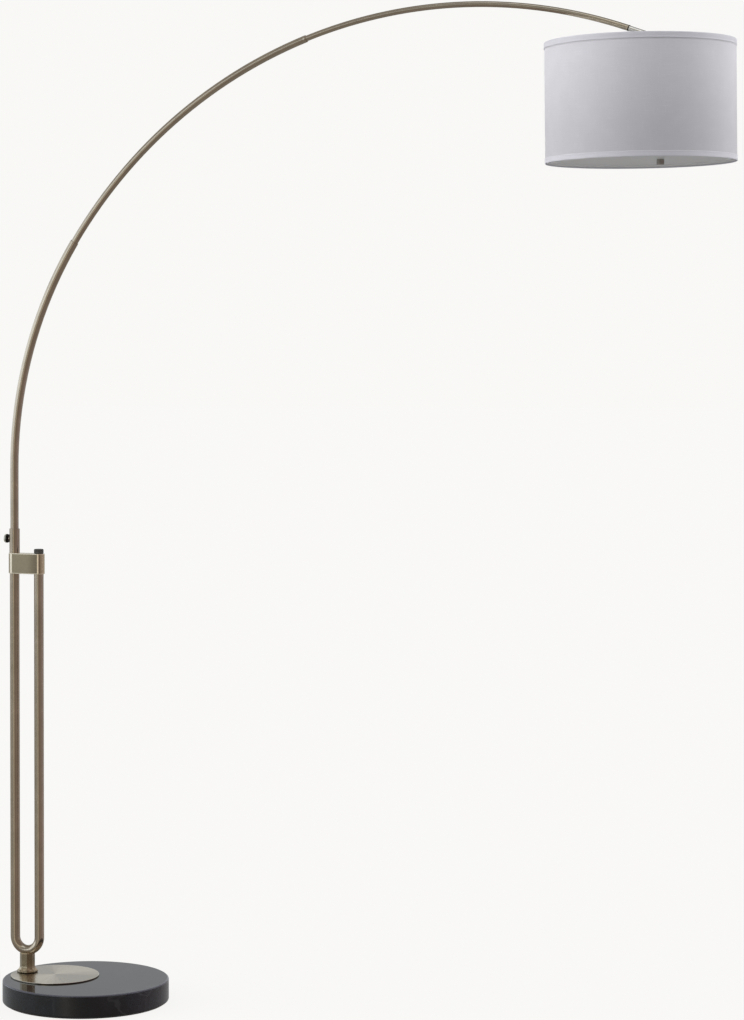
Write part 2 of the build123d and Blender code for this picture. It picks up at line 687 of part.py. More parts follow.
for side, where in ((-1, "front"), (1, "back")):
    along = Vector(0, side * math.cos(math.radians(SOCKET_DROOP)), -math.sin(math.radians(SOCKET_DROOP)))
    axis_dir = HEAD.from_local_coords(along) - PIN
    hub = HEAD.from_local_coords(Vector(0, 0, SOCKET_Z))
    socket_plane = Plane(hub, x_dir=HEAD.x_dir, z_dir=axis_dir)

    with BuildPart() as socket_shell:
        with BuildSketch(socket_plane.offset(SPOUT_START)):
            Circle(SPOUT_R)
        extrude(amount=SOCKET_START - SPOUT_START + 1)
        with BuildSketch(socket_plane.offset(SOCKET_START)):
            Circle(SOCKET_R)
        extrude(amount=SOCKET_LENGTH)
        with BuildSketch(socket_plane.offset(SOCKET_START + SOCKET_BACK)):
            Circle(SOCKET_R - SOCKET_WALL)
        extrude(amount=SOCKET_LENGTH, mode=Mode.SUBTRACT)
        with BuildSketch(socket_plane.offset(SPOUT_START - 1)):
            Circle(NIPPLE_BORE)
        extrude(amount=SOCKET_START - SPOUT_START + 4, mode=Mode.SUBTRACT)
    finish(socket_shell, f"socket_shell_{where}")

    core_foot = SOCKET_START + SOCKET_BACK + 0.1
    with BuildPart() as socket_core:
        with BuildSketch(socket_plane.offset(core_foot)):
            Circle(SOCKET_R - SOCKET_WALL - 0.1)
        extrude(amount=CORE_H)
    finish(socket_core, f"socket_core_{where}")

    with BuildPart() as socket_contact:
        with BuildSketch(socket_plane.offset(core_foot + CORE_H)):
            Circle(CONTACT_R)
        extrude(amount=CONTACT_H)
    finish(socket_contact, f"socket_contact_{where}")

    cap_foot = core_foot + CORE_H + CONTACT_H + 0.1
    with BuildPart() as bulb_cap:
        with BuildSketch(socket_plane.offset(cap_foot)):
            Circle(BULB_CAP_R)
        extrude(amount=BULB_CAP_H)
        chamfer(bulb_cap.edges().filter_by(GeomType.CIRCLE).sort_by(
            lambda edge: (edge.arc_center - hub).length)[0], 5)
    finish(bulb_cap, f"bulb_cap_{where}")

    with BuildPart() as bulb_glass:
        throat = cap_foot + BULB_CAP_H + 0.1
        ball = throat + BULB_NECK
        with BuildSketch(Plane(hub, x_dir=axis_dir, z_dir=HEAD.x_dir)):
            with BuildLine():
                Line((throat, 0), (throat, BULB_CAP_R))
                Spline(
                    (throat, BULB_CAP_R), (throat + 18, 18.5), (ball, BULB_R), (ball + BULB_R, 0),
                    tangents=((1, 0), (0, -1)),
                )
                Line((ball + BULB_R, 0), (throat, 0))
            make_face()
        revolve(axis=Axis(hub, axis_dir))
    finish(bulb_glass, f"bulb_glass_{where}")

with BuildPart() as centre_rod:
    with BuildSketch(HEAD.offset(CLUSTER_TOP - CLUSTER_H + 8)):
        Circle(ROD_R)
    extrude(amount=-(CLUSTER_TOP - CLUSTER_H + 8 - DIFFUSER_FOOT + ROD_TAIL))
finish(centre_rod, "centre_rod")

with BuildPart() as rod_nuts:
    # one nut locks the rod in the cluster, the other carries the diffuser
    washer_top = DIFFUSER_FOOT + DIFFUSER_T + 0.05 + SHADE_WASHER_T
    for height in (CLUSTER_TOP - CLUSTER_H - ROD_NUT_H - 0.05, washer_top + 0.1):
        with BuildSketch(HEAD.offset(height)):
            RegularPolygon(ROD_NUT_HALF, 6, major_radius=False)
            Circle(ROD_R + 0.02, mode=Mode.SUBTRACT)
        extrude(amount=ROD_NUT_H)
finish(rod_nuts, "rod_nuts")

with BuildPart() as diffuser:
    with BuildSketch(HEAD.offset(DIFFUSER_FOOT)):
        with Locations((DRUM_OFFSET, 0)):
            Circle(DIFFUSER_R)
        Circle(ROD_R + 0.2, mode=Mode.SUBTRACT)
    extrude(amount=DIFFUSER_T)
finish(diffuser, "diffuser")

with BuildPart() as diffuser_washers:
    for height in (DIFFUSER_FOOT - SHADE_WASHER_T - 0.05, DIFFUSER_FOOT + DIFFUSER_T + 0.05):
        with BuildSketch(HEAD.offset(height)):
            Circle(SHADE_WASHER_R)
            Circle(ROD_R + 0.05, mode=Mode.SUBTRACT)
        extrude(amount=SHADE_WASHER_T)
finish(diffuser_washers, "diffuser_washers")

with BuildPart() as finial:
    finial_top = DIFFUSER_FOOT - SHADE_WASHER_T - 0.1
    with BuildSketch(HEAD.offset(finial_top)):
        Rectangle(FINIAL_SIDE, FINIAL_SIDE, rotation=45)
    extrude(amount=-FINIAL_H)
    fillet(finial.edges(), 0.7)
    with BuildSketch(HEAD.offset(finial_top)):
        Circle(ROD_R + 0.02)
    extrude(amount=-FINIAL_BORE_DEPTH, mode=Mode.SUBTRACT)
finish(finial, "finial")

with BuildPart() as shade_drum:
    with BuildSketch(HEAD.offset(DRUM_FOOT + 1)):
        with Locations((DRUM_OFFSET, 0)):
            Circle(DRUM_R - HEM_T)
            Circle(DRUM_R - HEM_T - DRUM_WALL, mode=Mode.SUBTRACT)
    extrude(amount=DRUM_H - 2)
finish(shade_drum, "shade_drum")


def hem_tape(name, foot, height, lip):
    """A tape folded over one rim of the drum: an outer band and a lip over the edge."""
    with BuildPart() as tape:
        with BuildSketch(HEAD.offset(foot)):
            with Locations((DRUM_OFFSET, 0)):
                Circle(DRUM_R)
                Circle(DRUM_R - HEM_T + 0.02, mode=Mode.SUBTRACT)
        extrude(amount=height)
        with BuildSketch(HEAD.offset(lip)):
            with Locations((DRUM_OFFSET, 0)):
                Circle(DRUM_R)
                Circle(DRUM_R - HEM_T - DRUM_WALL - 0.6, mode=Mode.SUBTRACT)
        extrude(amount=0.95)
    finish(tape, name)


hem_tape("top_hem_tape", DRUM_TOP - TOP_HEM_H, TOP_HEM_H, DRUM_TOP - 0.95)
hem_tape("foot_hem_tape", DRUM_FOOT, FOOT_HEM_H, DRUM_FOOT)

with BuildPart() as foot_ring:
    # the lower wire ring carries the diffuser's rim
    wire_ring(DIFFUSER_FOOT - RING_WIRE_R - 0.05)
finish(foot_ring, "foot_ring")

# ================= Internal wiring =================

with BuildPart() as mains_cable:
    # from the gland along the groove, up the stud, into the right leg and up to the dimmer
    with BuildLine():
        route = FilletPolyline(
            (POLE_X, GLAND_Y + 10, CABLE_Z),
            (POLE_X, 0, CABLE_Z),
            (POLE_X, 0, 110),
            (POLE_X + 25, -MAINS_SHIFT, 120),
            (RIGHT_X, -MAINS_SHIFT, 160),
            (RIGHT_X, -MAINS_SHIFT, DIMMER_FOOT - 0.1),
            radius=[11, 11, 18, 60],
        )
    with BuildSketch(Plane((POLE_X, GLAND_Y + 10, CABLE_Z), z_dir=(0, -1, 0))):
        Circle(CABLE_R)
    sweep()
finish(mains_cable, "mains_cable")

with BuildPart() as switched_cable:
    # from the dimmer down the right leg, round the fork's bend and up the left leg
    with BuildLine(Plane.XZ.offset(-SWITCHED_SHIFT)):
        Line((RIGHT_X, DIMMER_FOOT - 0.1), (RIGHT_X, BEND_Z))
        CenterArc((POLE_X, BEND_Z), FORK_BEND_R, 0, -180)
        Line((LEFT_X, BEND_Z), (LEFT_X, ARC_FOOT - 5))
    with BuildSketch(Plane((RIGHT_X, SWITCHED_SHIFT, DIMMER_FOOT - 0.1), z_dir=(0, 0, -1))):
        Circle(CABLE_R)
    sweep()
finish(switched_cable, "switched_cable")

with BuildPart() as arc_cable:
    # from above the slack length in the left leg, through the arc, to the bore of the stem
    with BuildLine(Plane.XZ):
        Line((LEFT_X, ARC_FOOT + SLACK_TOP), (LEFT_X, BEND_START))
        arc_run(0, TIP_TURN - 0.8)
    with BuildSketch(Plane.XY.offset(ARC_FOOT + SLACK_TOP)):
        with Locations((LEFT_X, 0)):
            Circle(CABLE_R)
    sweep()
finish(arc_cable, "arc_cable")
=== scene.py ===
"""Looks of an arc floor lamp: a stone slab, a forked pole, a three-step arc and a linen drum shade.

Lengths are in metres in the frame's own axes: +Z is up and +X runs from the pole towards the shade.
"""

from __future__ import annotations

import json
import logging
import math
from dataclasses import dataclass
from enum import Enum
from typing import Any, Sequence, Union

import bmesh
import bpy
from mathutils import Matrix, Vector


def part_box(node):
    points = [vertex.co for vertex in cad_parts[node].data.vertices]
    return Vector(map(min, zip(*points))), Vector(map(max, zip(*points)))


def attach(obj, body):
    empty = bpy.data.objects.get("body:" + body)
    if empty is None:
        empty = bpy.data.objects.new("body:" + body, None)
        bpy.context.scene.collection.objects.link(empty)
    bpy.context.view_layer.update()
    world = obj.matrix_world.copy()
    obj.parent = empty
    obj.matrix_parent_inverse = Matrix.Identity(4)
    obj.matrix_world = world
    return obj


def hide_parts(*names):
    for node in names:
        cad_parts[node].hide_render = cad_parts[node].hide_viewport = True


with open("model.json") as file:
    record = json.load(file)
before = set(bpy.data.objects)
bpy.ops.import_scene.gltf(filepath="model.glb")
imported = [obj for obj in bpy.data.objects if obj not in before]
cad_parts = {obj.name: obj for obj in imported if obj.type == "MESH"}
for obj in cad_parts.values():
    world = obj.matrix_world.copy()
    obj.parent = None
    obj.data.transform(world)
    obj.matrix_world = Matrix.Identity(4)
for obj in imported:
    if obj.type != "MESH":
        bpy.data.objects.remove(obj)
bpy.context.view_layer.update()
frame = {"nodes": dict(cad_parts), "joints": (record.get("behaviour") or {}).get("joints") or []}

LOG = logging.getLogger("arc_lamp")

Colour = tuple[float, float, float]
Point = tuple[float, float, float]
Profile = list[tuple[float, float]]
Value = Union["Term", float, int]


# ---------------------------------------------------------------- shader maths


class Term:
    """One socket's number, so that shader maths reads as an expression."""

    def __init__(self, graph: "Graph", socket: bpy.types.NodeSocket) -> None:
        """Wraps a socket of one graph."""
        self.graph = graph
        self.socket = socket

    def _do(self, operation: str, first: Value, second: Value) -> "Term":
        """Adds one Math node."""
        return self.graph.math(operation, first, second)

    def __add__(self, other: Value) -> "Term":
        """self + other."""
        return self._do("ADD", self, other)

    def __radd__(self, other: Value) -> "Term":
        """other + self."""
        return self._do("ADD", other, self)

    def __sub__(self, other: Value) -> "Term":
        """self - other."""
        return self._do("SUBTRACT", self, other)

    def __rsub__(self, other: Value) -> "Term":
        """other - self."""
        return self._do("SUBTRACT", other, self)

    def __mul__(self, other: Value) -> "Term":
        """self * other."""
        return self._do("MULTIPLY", self, other)

    def __rmul__(self, other: Value) -> "Term":
        """other * self."""
        return self._do("MULTIPLY", other, self)

    def __truediv__(self, other: Value) -> "Term":
        """self / other."""
        return self._do("DIVIDE", self, other)

    def __rtruediv__(self, other: Value) -> "Term":
        """other / self."""
        return self._do("DIVIDE", other, self)

    def __gt__(self, other: Value) -> "Term":
        """1 where self is above other, else 0."""
        return self._do("GREATER_THAN", self, other)


class Graph:
    """Adds nodes to one material's or world's tree."""

    def __init__(self, tree: bpy.types.NodeTree) -> None:
        """Empties a node tree and takes it over."""
        self.tree = tree
        self.tree.nodes.clear()

    def node(self, kind: str, settings: dict[str, Any] | None = None,
             inputs: dict[Any, Any] | None = None) -> bpy.types.Node:
        """Makes one node.

        Args:
            kind: The node's type.
            settings: Its own properties, set first; "stops" holds a colour ramp's stops.
            inputs: A value or a Term for each socket, by name or index.

        Returns:
            The node.
        """
        made = self.tree.nodes.new(kind)
        for key, value in (settings or {}).items():
            if key == "stops":
                self._set_stops(made.color_ramp, value)
            else:
                setattr(made, key, value)
        for key, value in (inputs or {}).items():
            if isinstance(value, Term):
                self.tree.links.new(value.socket, made.inputs[key])
            else:
                made.inputs[key].default_value = value
        return made

    @staticmethod
    def _set_stops(ramp: bpy.types.ColorRamp, stops: Sequence[tuple[float, Colour]]) -> None:
        """Gives a colour ramp these stops, at least two of them."""
        while len(ramp.elements) < len(stops):
            ramp.elements.new(1.0)
        for element, (place, colour) in zip(ramp.elements, stops):
            element.position = place
            element.color = (*colour, 1.0)

    def out(self, node: bpy.types.Node, socket: Union[int, str] = 0) -> Term:
        """One output of a node as a Term."""
        return Term(self, node.outputs[socket])

    def math(self, operation: str, first: Value, second: Value = 0.0, third: Value = 0.0) -> Term:
        """The result of one Math node."""
        return self.out(self.node("ShaderNodeMath", {"operation": operation}, {
            0: first, 1: second, 2: third}))

    def vector_math(self, operation: str, inputs: dict[Any, Any]) -> Term:
        """The vector result of one Vector Math node."""
        return self.out(self.node("ShaderNodeVectorMath", {"operation": operation}, inputs))

    def place(self) -> Term:
        """The point on the piece, in the frame's axes."""
        return self.out(self.node("ShaderNodeTexCoord"), "Object")

    def split(self, vector: Term) -> tuple[Term, Term, Term]:
        """A vector's three numbers."""
        parts = self.node("ShaderNodeSeparateXYZ", None, {0: vector})
        return self.out(parts, 0), self.out(parts, 1), self.out(parts, 2)

    def join(self, x: Value, y: Value, z: Value = 0.0) -> Term:
        """A vector from three numbers."""
        return self.out(self.node("ShaderNodeCombineXYZ", None, {0: x, 1: y, 2: z}))

    def noise(self, vector: Term, scale: float, detail: float = 2.0, roughness: float = 0.5,
              distortion: float = 0.0) -> Term:
        """Smooth noise from 0 to 1 at a point."""
        return self.out(self.node("ShaderNodeTexNoise", None, {
            "Vector": vector, "Scale": scale, "Detail": detail, "Roughness": roughness,
            "Distortion": distortion}))

    def within(self, value: Value, low: float, high: float, start: float = 0.0, stop: float = 1.0) -> Term:
        """Eases from start to stop as value goes from low to high."""
        return self.out(self.node("ShaderNodeMapRange", {"interpolation_type": "SMOOTHSTEP"}, {
            0: value, 1: low, 2: high, 3: start, 4: stop}))

    def band(self, value: Term, start: float, full: float, fade: float, stop: float) -> Term:
        """Eases from 0 at start to 1 at full, then from 1 at fade to 0 at stop."""
        return self.within(value, start, full) * self.within(value, fade, stop, 1.0, 0.0)

    def reach(self, over: Term, back: Term) -> Term:
        """The distance from an axis, given the two offsets from it."""
        return self.math("SQRT", over * over + back * back)

    def cells(self, vector: Term, scale: float, feature: str = "F1") -> Term:
        """The distance to the nearest cell's middle, or to the nearest edge between cells."""
        return self.out(self.node("ShaderNodeTexVoronoi", {"feature": feature}, {
            "Vector": vector, "Scale": scale}))

    def blend(self, factor: Value, first: Union[Term, Colour], second: Union[Term, Colour]) -> Term:
        """Mixes two colours."""
        ends = [c if isinstance(c, Term) else (*c, 1.0) for c in (first, second)]
        mixed = self.node("ShaderNodeMix", {"data_type": "RGBA"}, {0: factor, 6: ends[0], 7: ends[1]})
        return self.out(mixed, 2)

    def choose(self, factor: Value, first: Value, second: Value) -> Term:
        """Mixes two numbers."""
        return self.out(self.node("ShaderNodeMix", {"data_type": "FLOAT"}, {0: factor, 2: first, 3: second}))

    def ramp(self, value: Term, stops: Sequence[tuple[float, Colour]]) -> Term:
        """A colour read off a ramp."""
        return self.out(self.node("ShaderNodeValToRGB", {"stops": stops}, {0: value}))

    def bump(self, height: Term, strength: float, depth: float, normal: Term | None = None) -> Term:
        """A normal that follows a height."""
        inputs: dict[Any, Any] = {"Strength": strength, "Distance": depth, "Height": height}
        if normal is not None:
            inputs["Normal"] = normal
        return self.out(self.node("ShaderNodeBump", None, inputs))


class Surface(Graph):
    """One material of a piece, ending in a Principled shader."""

    def __init__(self, name: str) -> None:
        """Makes the material."""
        self.material = bpy.data.materials.new(name)
        self.material.use_nodes = True
        super().__init__(self.material.node_tree)

    def close(self, **sockets: Any) -> bpy.types.Material:
        """Ends the tree in a Principled shader.

        Args:
            sockets: The shader's sockets, with underscores for spaces.

        Returns:
            The material.
        """
        inputs = {}
        for key, value in sockets.items():
            is_colour = isinstance(value, tuple) and len(value) == 3
            inputs[key.replace("_", " ")] = (*value, 1.0) if is_colour else value
        shader = self.node("ShaderNodeBsdfPrincipled", None, inputs)
        self.node("ShaderNodeOutputMaterial", None, {"Surface": self.out(shader)})
        return self.material


# ---------------------------------------------------------------- finishes


def shade(colour: Colour, factor: float) -> Colour:
    """A colour made darker or lighter."""
    return (colour[0] * factor, colour[1] * factor, colour[2] * factor)


ZINC: Colour = (0.6, 0.6, 0.58)
BLACK_PLASTIC: Colour = (0.03, 0.03, 0.03)


@dataclass(frozen=True)
class Finish:
    """What every finish has: a name and the record's slot that it stands for."""

    name: str
    slot: str

    def material(self) -> bpy.types.Material:
        """Builds the finish."""
        raise NotImplementedError


class Grain(Enum):
    """Which way a metal's polishing lines run."""

    UPRIGHT = "upright"
    LEVEL = "level"
    FIRST_BEND = "first bend"
    SECOND_BEND = "second bend"
    NONE = "none"


@dataclass(frozen=True)
class AntiqueBrass(Finish):
    """Brass darkened, rubbed back along the tube and lacquered."""

    grain: Grain = Grain.UPRIGHT
    colour: Colour = (0.46, 0.40, 0.315)
    roughness: float = 0.17
    bend_centre: tuple[float, float] = (0.0, 0.0)
    streaks: float = 420.0
    hairlines: float = 1900.0
    mottling: float = 26.0
    clouding: float = 5.0
    stretch: float = 0.012
    worn: float = 1.18
    dark: float = 0.78

    def _across(self, g: Surface) -> Term:
        """Coordinates that barely change along the grain."""
        x, y, z = g.split(g.place())
        if self.grain is Grain.UPRIGHT:
            return g.join(x, y, z * self.stretch)
        if self.grain is Grain.LEVEL:
            return g.join(x * self.stretch, y, z)
        if self.grain is Grain.NONE:
            return g.join(x, y, z)
        over, up = x - self.bend_centre[0], z - self.bend_centre[1]
        if self.grain is Grain.FIRST_BEND:
            up = g.math("MAXIMUM", up, 0.0)
        return g.join(g.reach(over, up), y, z * self.stretch)

    def material(self) -> bpy.types.Material:
        """Builds the finish."""
        g = Surface(self.name)
        across, place = self._across(g), g.place()
        hairline = g.noise(across, self.hairlines, 2.0)
        streak = g.noise(across, self.streaks, 3.0, 0.6)
        mottle = g.noise(place, self.mottling, 4.0, 0.62, 0.4)
        cloud = g.noise(place, self.clouding, 2.0)
        tone = (mottle - 0.5) * 0.26 + (streak - 0.5) * 0.26 + (cloud - 0.5) * 0.16 + 0.5
        worn, dark = shade(self.colour, self.worn), shade(self.colour, self.dark)
        colour = self._toned(g, g.blend(g.within(tone, 0.3, 0.7), dark, worn))
        roughness = (hairline - 0.5) * 0.08 + (mottle - 0.5) * 0.08 + self.roughness
        normal = g.bump(hairline * 0.7 + streak * 0.3, 0.08, 0.0002)
        return g.close(Base_Color=colour, Metallic=1.0, Roughness=roughness, Normal=normal)

    def _toned(self, g: Surface, colour: Term) -> Term:
        """What the finish adds to the plain tone; nothing on a tube."""
        return colour


@dataclass(frozen=True)
class BracketWithPaintedLight(AntiqueBrass):
    """The bracket's brass, with painted shade that deepens to the right and painted highlights along its
    turns and edges.
    """

    middle: float = 0.0
    flat: float = 0.031
    low: float = 0.0
    high: float = 1.0
    # colour of the painted highlight on the turns and edges
    painted_highlight: Colour = (0.97, 0.89, 0.73)
    # painted shade: the face runs from the first tone at its left end to the darker second tone at its right
    lit_tone: Colour = (0.305, 0.258, 0.180)
    shaded_tone: Colour = (0.15, 0.11, 0.075)
    right_shift: float = 0.0015
    rim_edge: float = 0.0010
    rim_fade: float = 0.0024
    # strength of the painted highlight along the top and bottom edges
    rim_highlight: float = 0.9
    mottled_share: float = 0.3

    def _toned(self, g: Surface, colour: Term) -> Term:
        """Adds the painted shade towards the right and the painted highlights on the edges."""
        x, _, z = g.split(g.place())
        flat, aside = self.flat, x - self.middle
        # painted shade darkening towards the right; the rounded right end is then painted paler, as painted
        # light
        shaded_to_right = g.blend(g.within(aside, flat * 0.1, flat * 1.05), self.lit_tone, self.shaded_tone)
        lit_end = g.blend(g.within(aside, flat + 0.0075, flat + 0.0095), shaded_to_right, shade(self.colour, 1.6))
        mottled_and_shaded = g.blend(self.mottled_share, lit_end, colour)
        reach = g.math("MAXIMUM", aside - self.right_shift, aside * -1.0)
        # painted highlight round each end's turn and along the top and bottom edges
        turn = g.band(reach, flat - 0.0005, flat + 0.0015, flat + 0.0035, flat + 0.0065)
        rim = g.math("MAXIMUM", g.within(z, self.low + self.rim_edge, self.low + self.rim_fade, 1.0, 0.0),
                     g.within(z, self.high - self.rim_fade, self.high - self.rim_edge))
        return g.blend(g.math("MAXIMUM", turn, rim * self.rim_highlight), mottled_and_shaded, self.painted_highlight)


@dataclass(frozen=True)
class CastNeck(AntiqueBrass):
    """The neck's brass, with painted shade where its foot meets the plate and painted highlights on the
    flare and the top edge.
    """

    foot: float = 0.0
    top: float = 0.1
    patch_scale: float = 120.0
    # strength of the painted highlights
    sheen_and_polish: float = 0.8
    # strength of the painted shade at the foot
    foot_shadow: float = 0.85

    def _toned(self, g: Surface, colour: Term) -> Term:
        """Adds the painted shade at the foot and the painted highlight lines."""
        _, _, z = g.split(g.place())
        foot, top = self.foot, self.top
        # painted shade in a band just above the foot, where it meets the plate
        shadow_line = g.within(z, foot + 0.0012, foot + 0.0032, 1.0, 0.0)
        # painted highlights: patches on the flare and a line along the top edge
        patches = g.within(g.noise(g.place(), self.patch_scale, 2.0), 0.42, 0.6)
        flare = g.band(z, foot + 0.003, foot + 0.0055, foot + 0.008, foot + 0.013) * patches
        lip = g.within(z, top - 0.0035, top - 0.0022) * g.within(z, top - 0.0016, top, 1.0, 0.3)
        bright = g.blend(g.math("MAXIMUM", flare, lip) * self.sheen_and_polish, colour, shade(self.colour, 2.0))
        return g.blend(shadow_line * self.foot_shadow, bright, shade(self.colour, 0.18))


@dataclass(frozen=True)
class TurnedBrass(Finish):
    """Champagne brass brushed in circles about one point, with a painted sheen fan, a painted highlight
    along its edge and painted shade on its side.
    """

    centre: tuple[float, float] = (0.0, 0.0)
    colour: Colour = (0.53, 0.485, 0.395)
    roughness: float = 0.2
    spread: float = 0.5
    # direction of the painted sheen fan
    painted_sheen_turn: float = math.radians(71.0)
    radius: float = 0.1016
    top: float = 0.0558
    fine_rings: float = 2600.0
    broad_rings: float = 330.0
    rays: float = 9.0
    # colour of the painted highlight along the plate's edge
    rim: Colour = (0.8, 0.75, 0.66)

    def material(self) -> bpy.types.Material:
        """Builds the finish."""
        g = Surface(self.name)
        x, y, z = g.split(g.place())
        over, back = x - self.centre[0], y - self.centre[1]
        reach = g.reach(over, back)
        ring = g.join(reach, 0.0, 0.0)
        fine = g.noise(ring, self.fine_rings, 2.0, 0.6)
        broad = g.noise(ring, self.broad_rings, 3.0, 0.6)
        drift = g.noise(g.join(x, y, z), 40.0, 2.0)
        tilt = (fine - 0.5) * self.spread + (broad - 0.5) * (self.spread * 0.4)
        outward = g.vector_math("NORMALIZE", {0: g.join(over, back, 0.0)})
        lean = g.vector_math("SCALE", {0: outward, "Scale": tilt})
        facing = g.out(g.node("ShaderNodeNewGeometry"), "Normal")
        normal = g.vector_math("NORMALIZE", {0: g.vector_math("ADD", {0: facing, 1: lean})})
        turn = g.math("ARCTAN2", back, over)
        ray = g.noise(g.join(g.math("COSINE", turn), g.math("SINE", turn)), self.rays, 3.0, 0.6)
        # painted sheen: bright and dark wedges by angle about the centre
        painted_fan = g.math("ABSOLUTE", g.math("COSINE", turn - self.painted_sheen_turn)) + (ray - 0.5) * 0.45
        tone = broad * 0.5 + fine * 0.3 + drift * 0.2 + (ray - 0.5) * 0.3
        with_painted_fan = g.blend(g.within(painted_fan, 0.45, 1.05), shade(self.colour, 0.82), shade(self.colour, 1.42))
        brushed = g.blend(g.within(tone, 0.35, 0.65) * 0.3, with_painted_fan, shade(self.colour, 1.25))
        # painted highlight along the plate's edge
        rim = g.within(reach, self.radius - 0.0016, self.radius - 0.0008)
        with_rim_highlight = g.blend(rim * 0.8, brushed, self.rim)
        # painted shade: the plate's side edge is darkened
        side = g.within(z, self.top - 0.0014, self.top - 0.0007, 1.0, 0.0)
        colour = g.blend(side, with_rim_highlight, shade(self.colour, 0.18))
        roughness = (drift - 0.5) * 0.08 + self.roughness
        return g.close(Base_Color=colour, Metallic=1.0, Roughness=roughness, Normal=normal)


@dataclass(frozen=True)
class SatinMetal(Finish):
    """A plated or painted metal with a soft sheen."""

    colour: Colour = (0.72, 0.72, 0.70)
    roughness: float = 0.3
    metallic: float = 1.0
    grit: float = 900.0
    wearing: float = 70.0
    unevenness: float = 1.0

    def material(self) -> bpy.types.Material:
        """Builds the finish."""
        g = Surface(self.name)
        place = g.place()
        grit = g.noise(place, self.grit, 2.0)
        wear = g.noise(place, self.wearing, 4.0, 0.6)
        colour = g.blend(g.within(wear, 0.3, 0.7), shade(self.colour, 0.86), shade(self.colour, 1.08))
        changing = (grit - 0.5) * 0.12 + (wear - 0.5) * 0.14
        roughness = changing * self.unevenness + self.roughness
        return g.close(Base_Color=self._toned(g, colour), Metallic=self.metallic, Roughness=roughness,
                       Normal=g.bump(grit, 0.15, 0.0001))

    def _toned(self, g: Surface, colour: Term) -> Term:
        """What the finish adds to the plain tone; nothing here."""
        return colour


@dataclass(frozen=True)
class ShadedScrewHead(SatinMetal):
    """A screw head with painted shade: the half towards its shank is painted near black."""

    split: float = 0.0
    blur: float = 0.0004
    # colour of the painted shade on the head's inner half
    shaded_colour: Colour = (0.03, 0.028, 0.025)

    def _toned(self, g: Surface, colour: Term) -> Term:
        """Paints near-black shade on what lies inside the split."""
        x, _, _ = g.split(g.place())
        return g.blend(g.within(x, self.split - self.blur, self.split + self.blur), colour, self.shaded_colour)


@dataclass(frozen=True)
class PolishedMarble(Finish):
    """Black marble, polished, with faint pale veins, a few small pits and a painted highlight along the top
    arris.
    """

    ground: Colour = (0.003, 0.0042, 0.0062)
    vein: Colour = (0.035, 0.035, 0.037)
    arris_highlight: Colour = (0.09, 0.09, 0.115)
    radius: float = 0.1905
    top: float = 0.0528
    warp: float = 0.16
    vein_cells: float = 7.0
    thread_cells: float = 23.0
    pit_cells: float = 26.0
    roughness: float = 0.055
    side_roughness: float = 0.22

    def material(self) -> bpy.types.Material:
        """Builds the finish."""
        g = Surface(self.name)
        place = g.place()
        drift = g.node("ShaderNodeTexNoise", None, {"Vector": place, "Scale": 5.0, "Detail": 4.0,
                                                    "Roughness": 0.6})
        warped = g.vector_math("ADD", {0: place, 1: g.vector_math("SCALE", {
            0: g.out(drift, "Color"), "Scale": self.warp})})
        cell = g.cells(warped, self.vein_cells, "DISTANCE_TO_EDGE")
        thread = g.cells(warped, self.thread_cells, "DISTANCE_TO_EDGE")
        patchy = g.within(g.noise(place, 9.0, 3.0), 0.48, 0.68)
        main_vein = g.within(cell, 0.0, 0.022, 1.0, 0.0) * patchy
        hair_vein = g.within(thread, 0.0, 0.02, 0.35, 0.0) * g.within(g.noise(place, 14.0, 2.0), 0.5, 0.7)
        cloud = g.within(g.noise(warped, 16.0, 5.0, 0.65), 0.35, 0.8)
        ground = g.blend(cloud, self.ground, shade(self.ground, 2.6))
        colour = g.blend(g.math("MAXIMUM", main_vein, hair_vein) * 0.55, ground, self.vein)
        pit = g.within(g.cells(place, self.pit_cells), 0.018, 0.03)
        x, y, z = g.split(place)
        # painted highlight: a paler band along the top arris
        arris = g.within(g.reach(x, y), self.radius - 0.005, self.radius - 0.003) * g.within(
            z, self.top - 0.0034, self.top - 0.0014)
        colour = g.blend(arris * 0.8, colour, self.arris_highlight)
        sheen_and_polish = g.noise(place, 60.0, 3.0)
        side = g.within(z, self.top - 0.006, self.top - 0.003, self.side_roughness, 0.0)
        roughness = (sheen_and_polish - 0.5) * 0.03 + main_vein * 0.05 + (1 - pit) * 0.4 + side + self.roughness
        return g.close(Base_Color=colour, Roughness=roughness, Normal=g.bump(pit, 0.4, 0.0006), IOR=1.5)


@dataclass(frozen=True)
class PressedFelt(Finish):
    """Short matted fibres."""

    colour: Colour = (0.045, 0.045, 0.05)

    def material(self) -> bpy.types.Material:
        """Builds the finish."""
        g = Surface(self.name)
        place = g.place()
        fibre = g.noise(place, 1400.0, 4.0, 0.7, 1.2)
        clump = g.noise(place, 160.0, 3.0)
        colour = g.blend(fibre * 0.6 + clump * 0.4, shade(self.colour, 0.5), shade(self.colour, 1.6))
        return g.close(Base_Color=colour, Roughness=0.95, Normal=g.bump(fibre, 0.6, 0.0005),
                       Sheen_Weight=0.3, Sheen_Roughness=0.5)


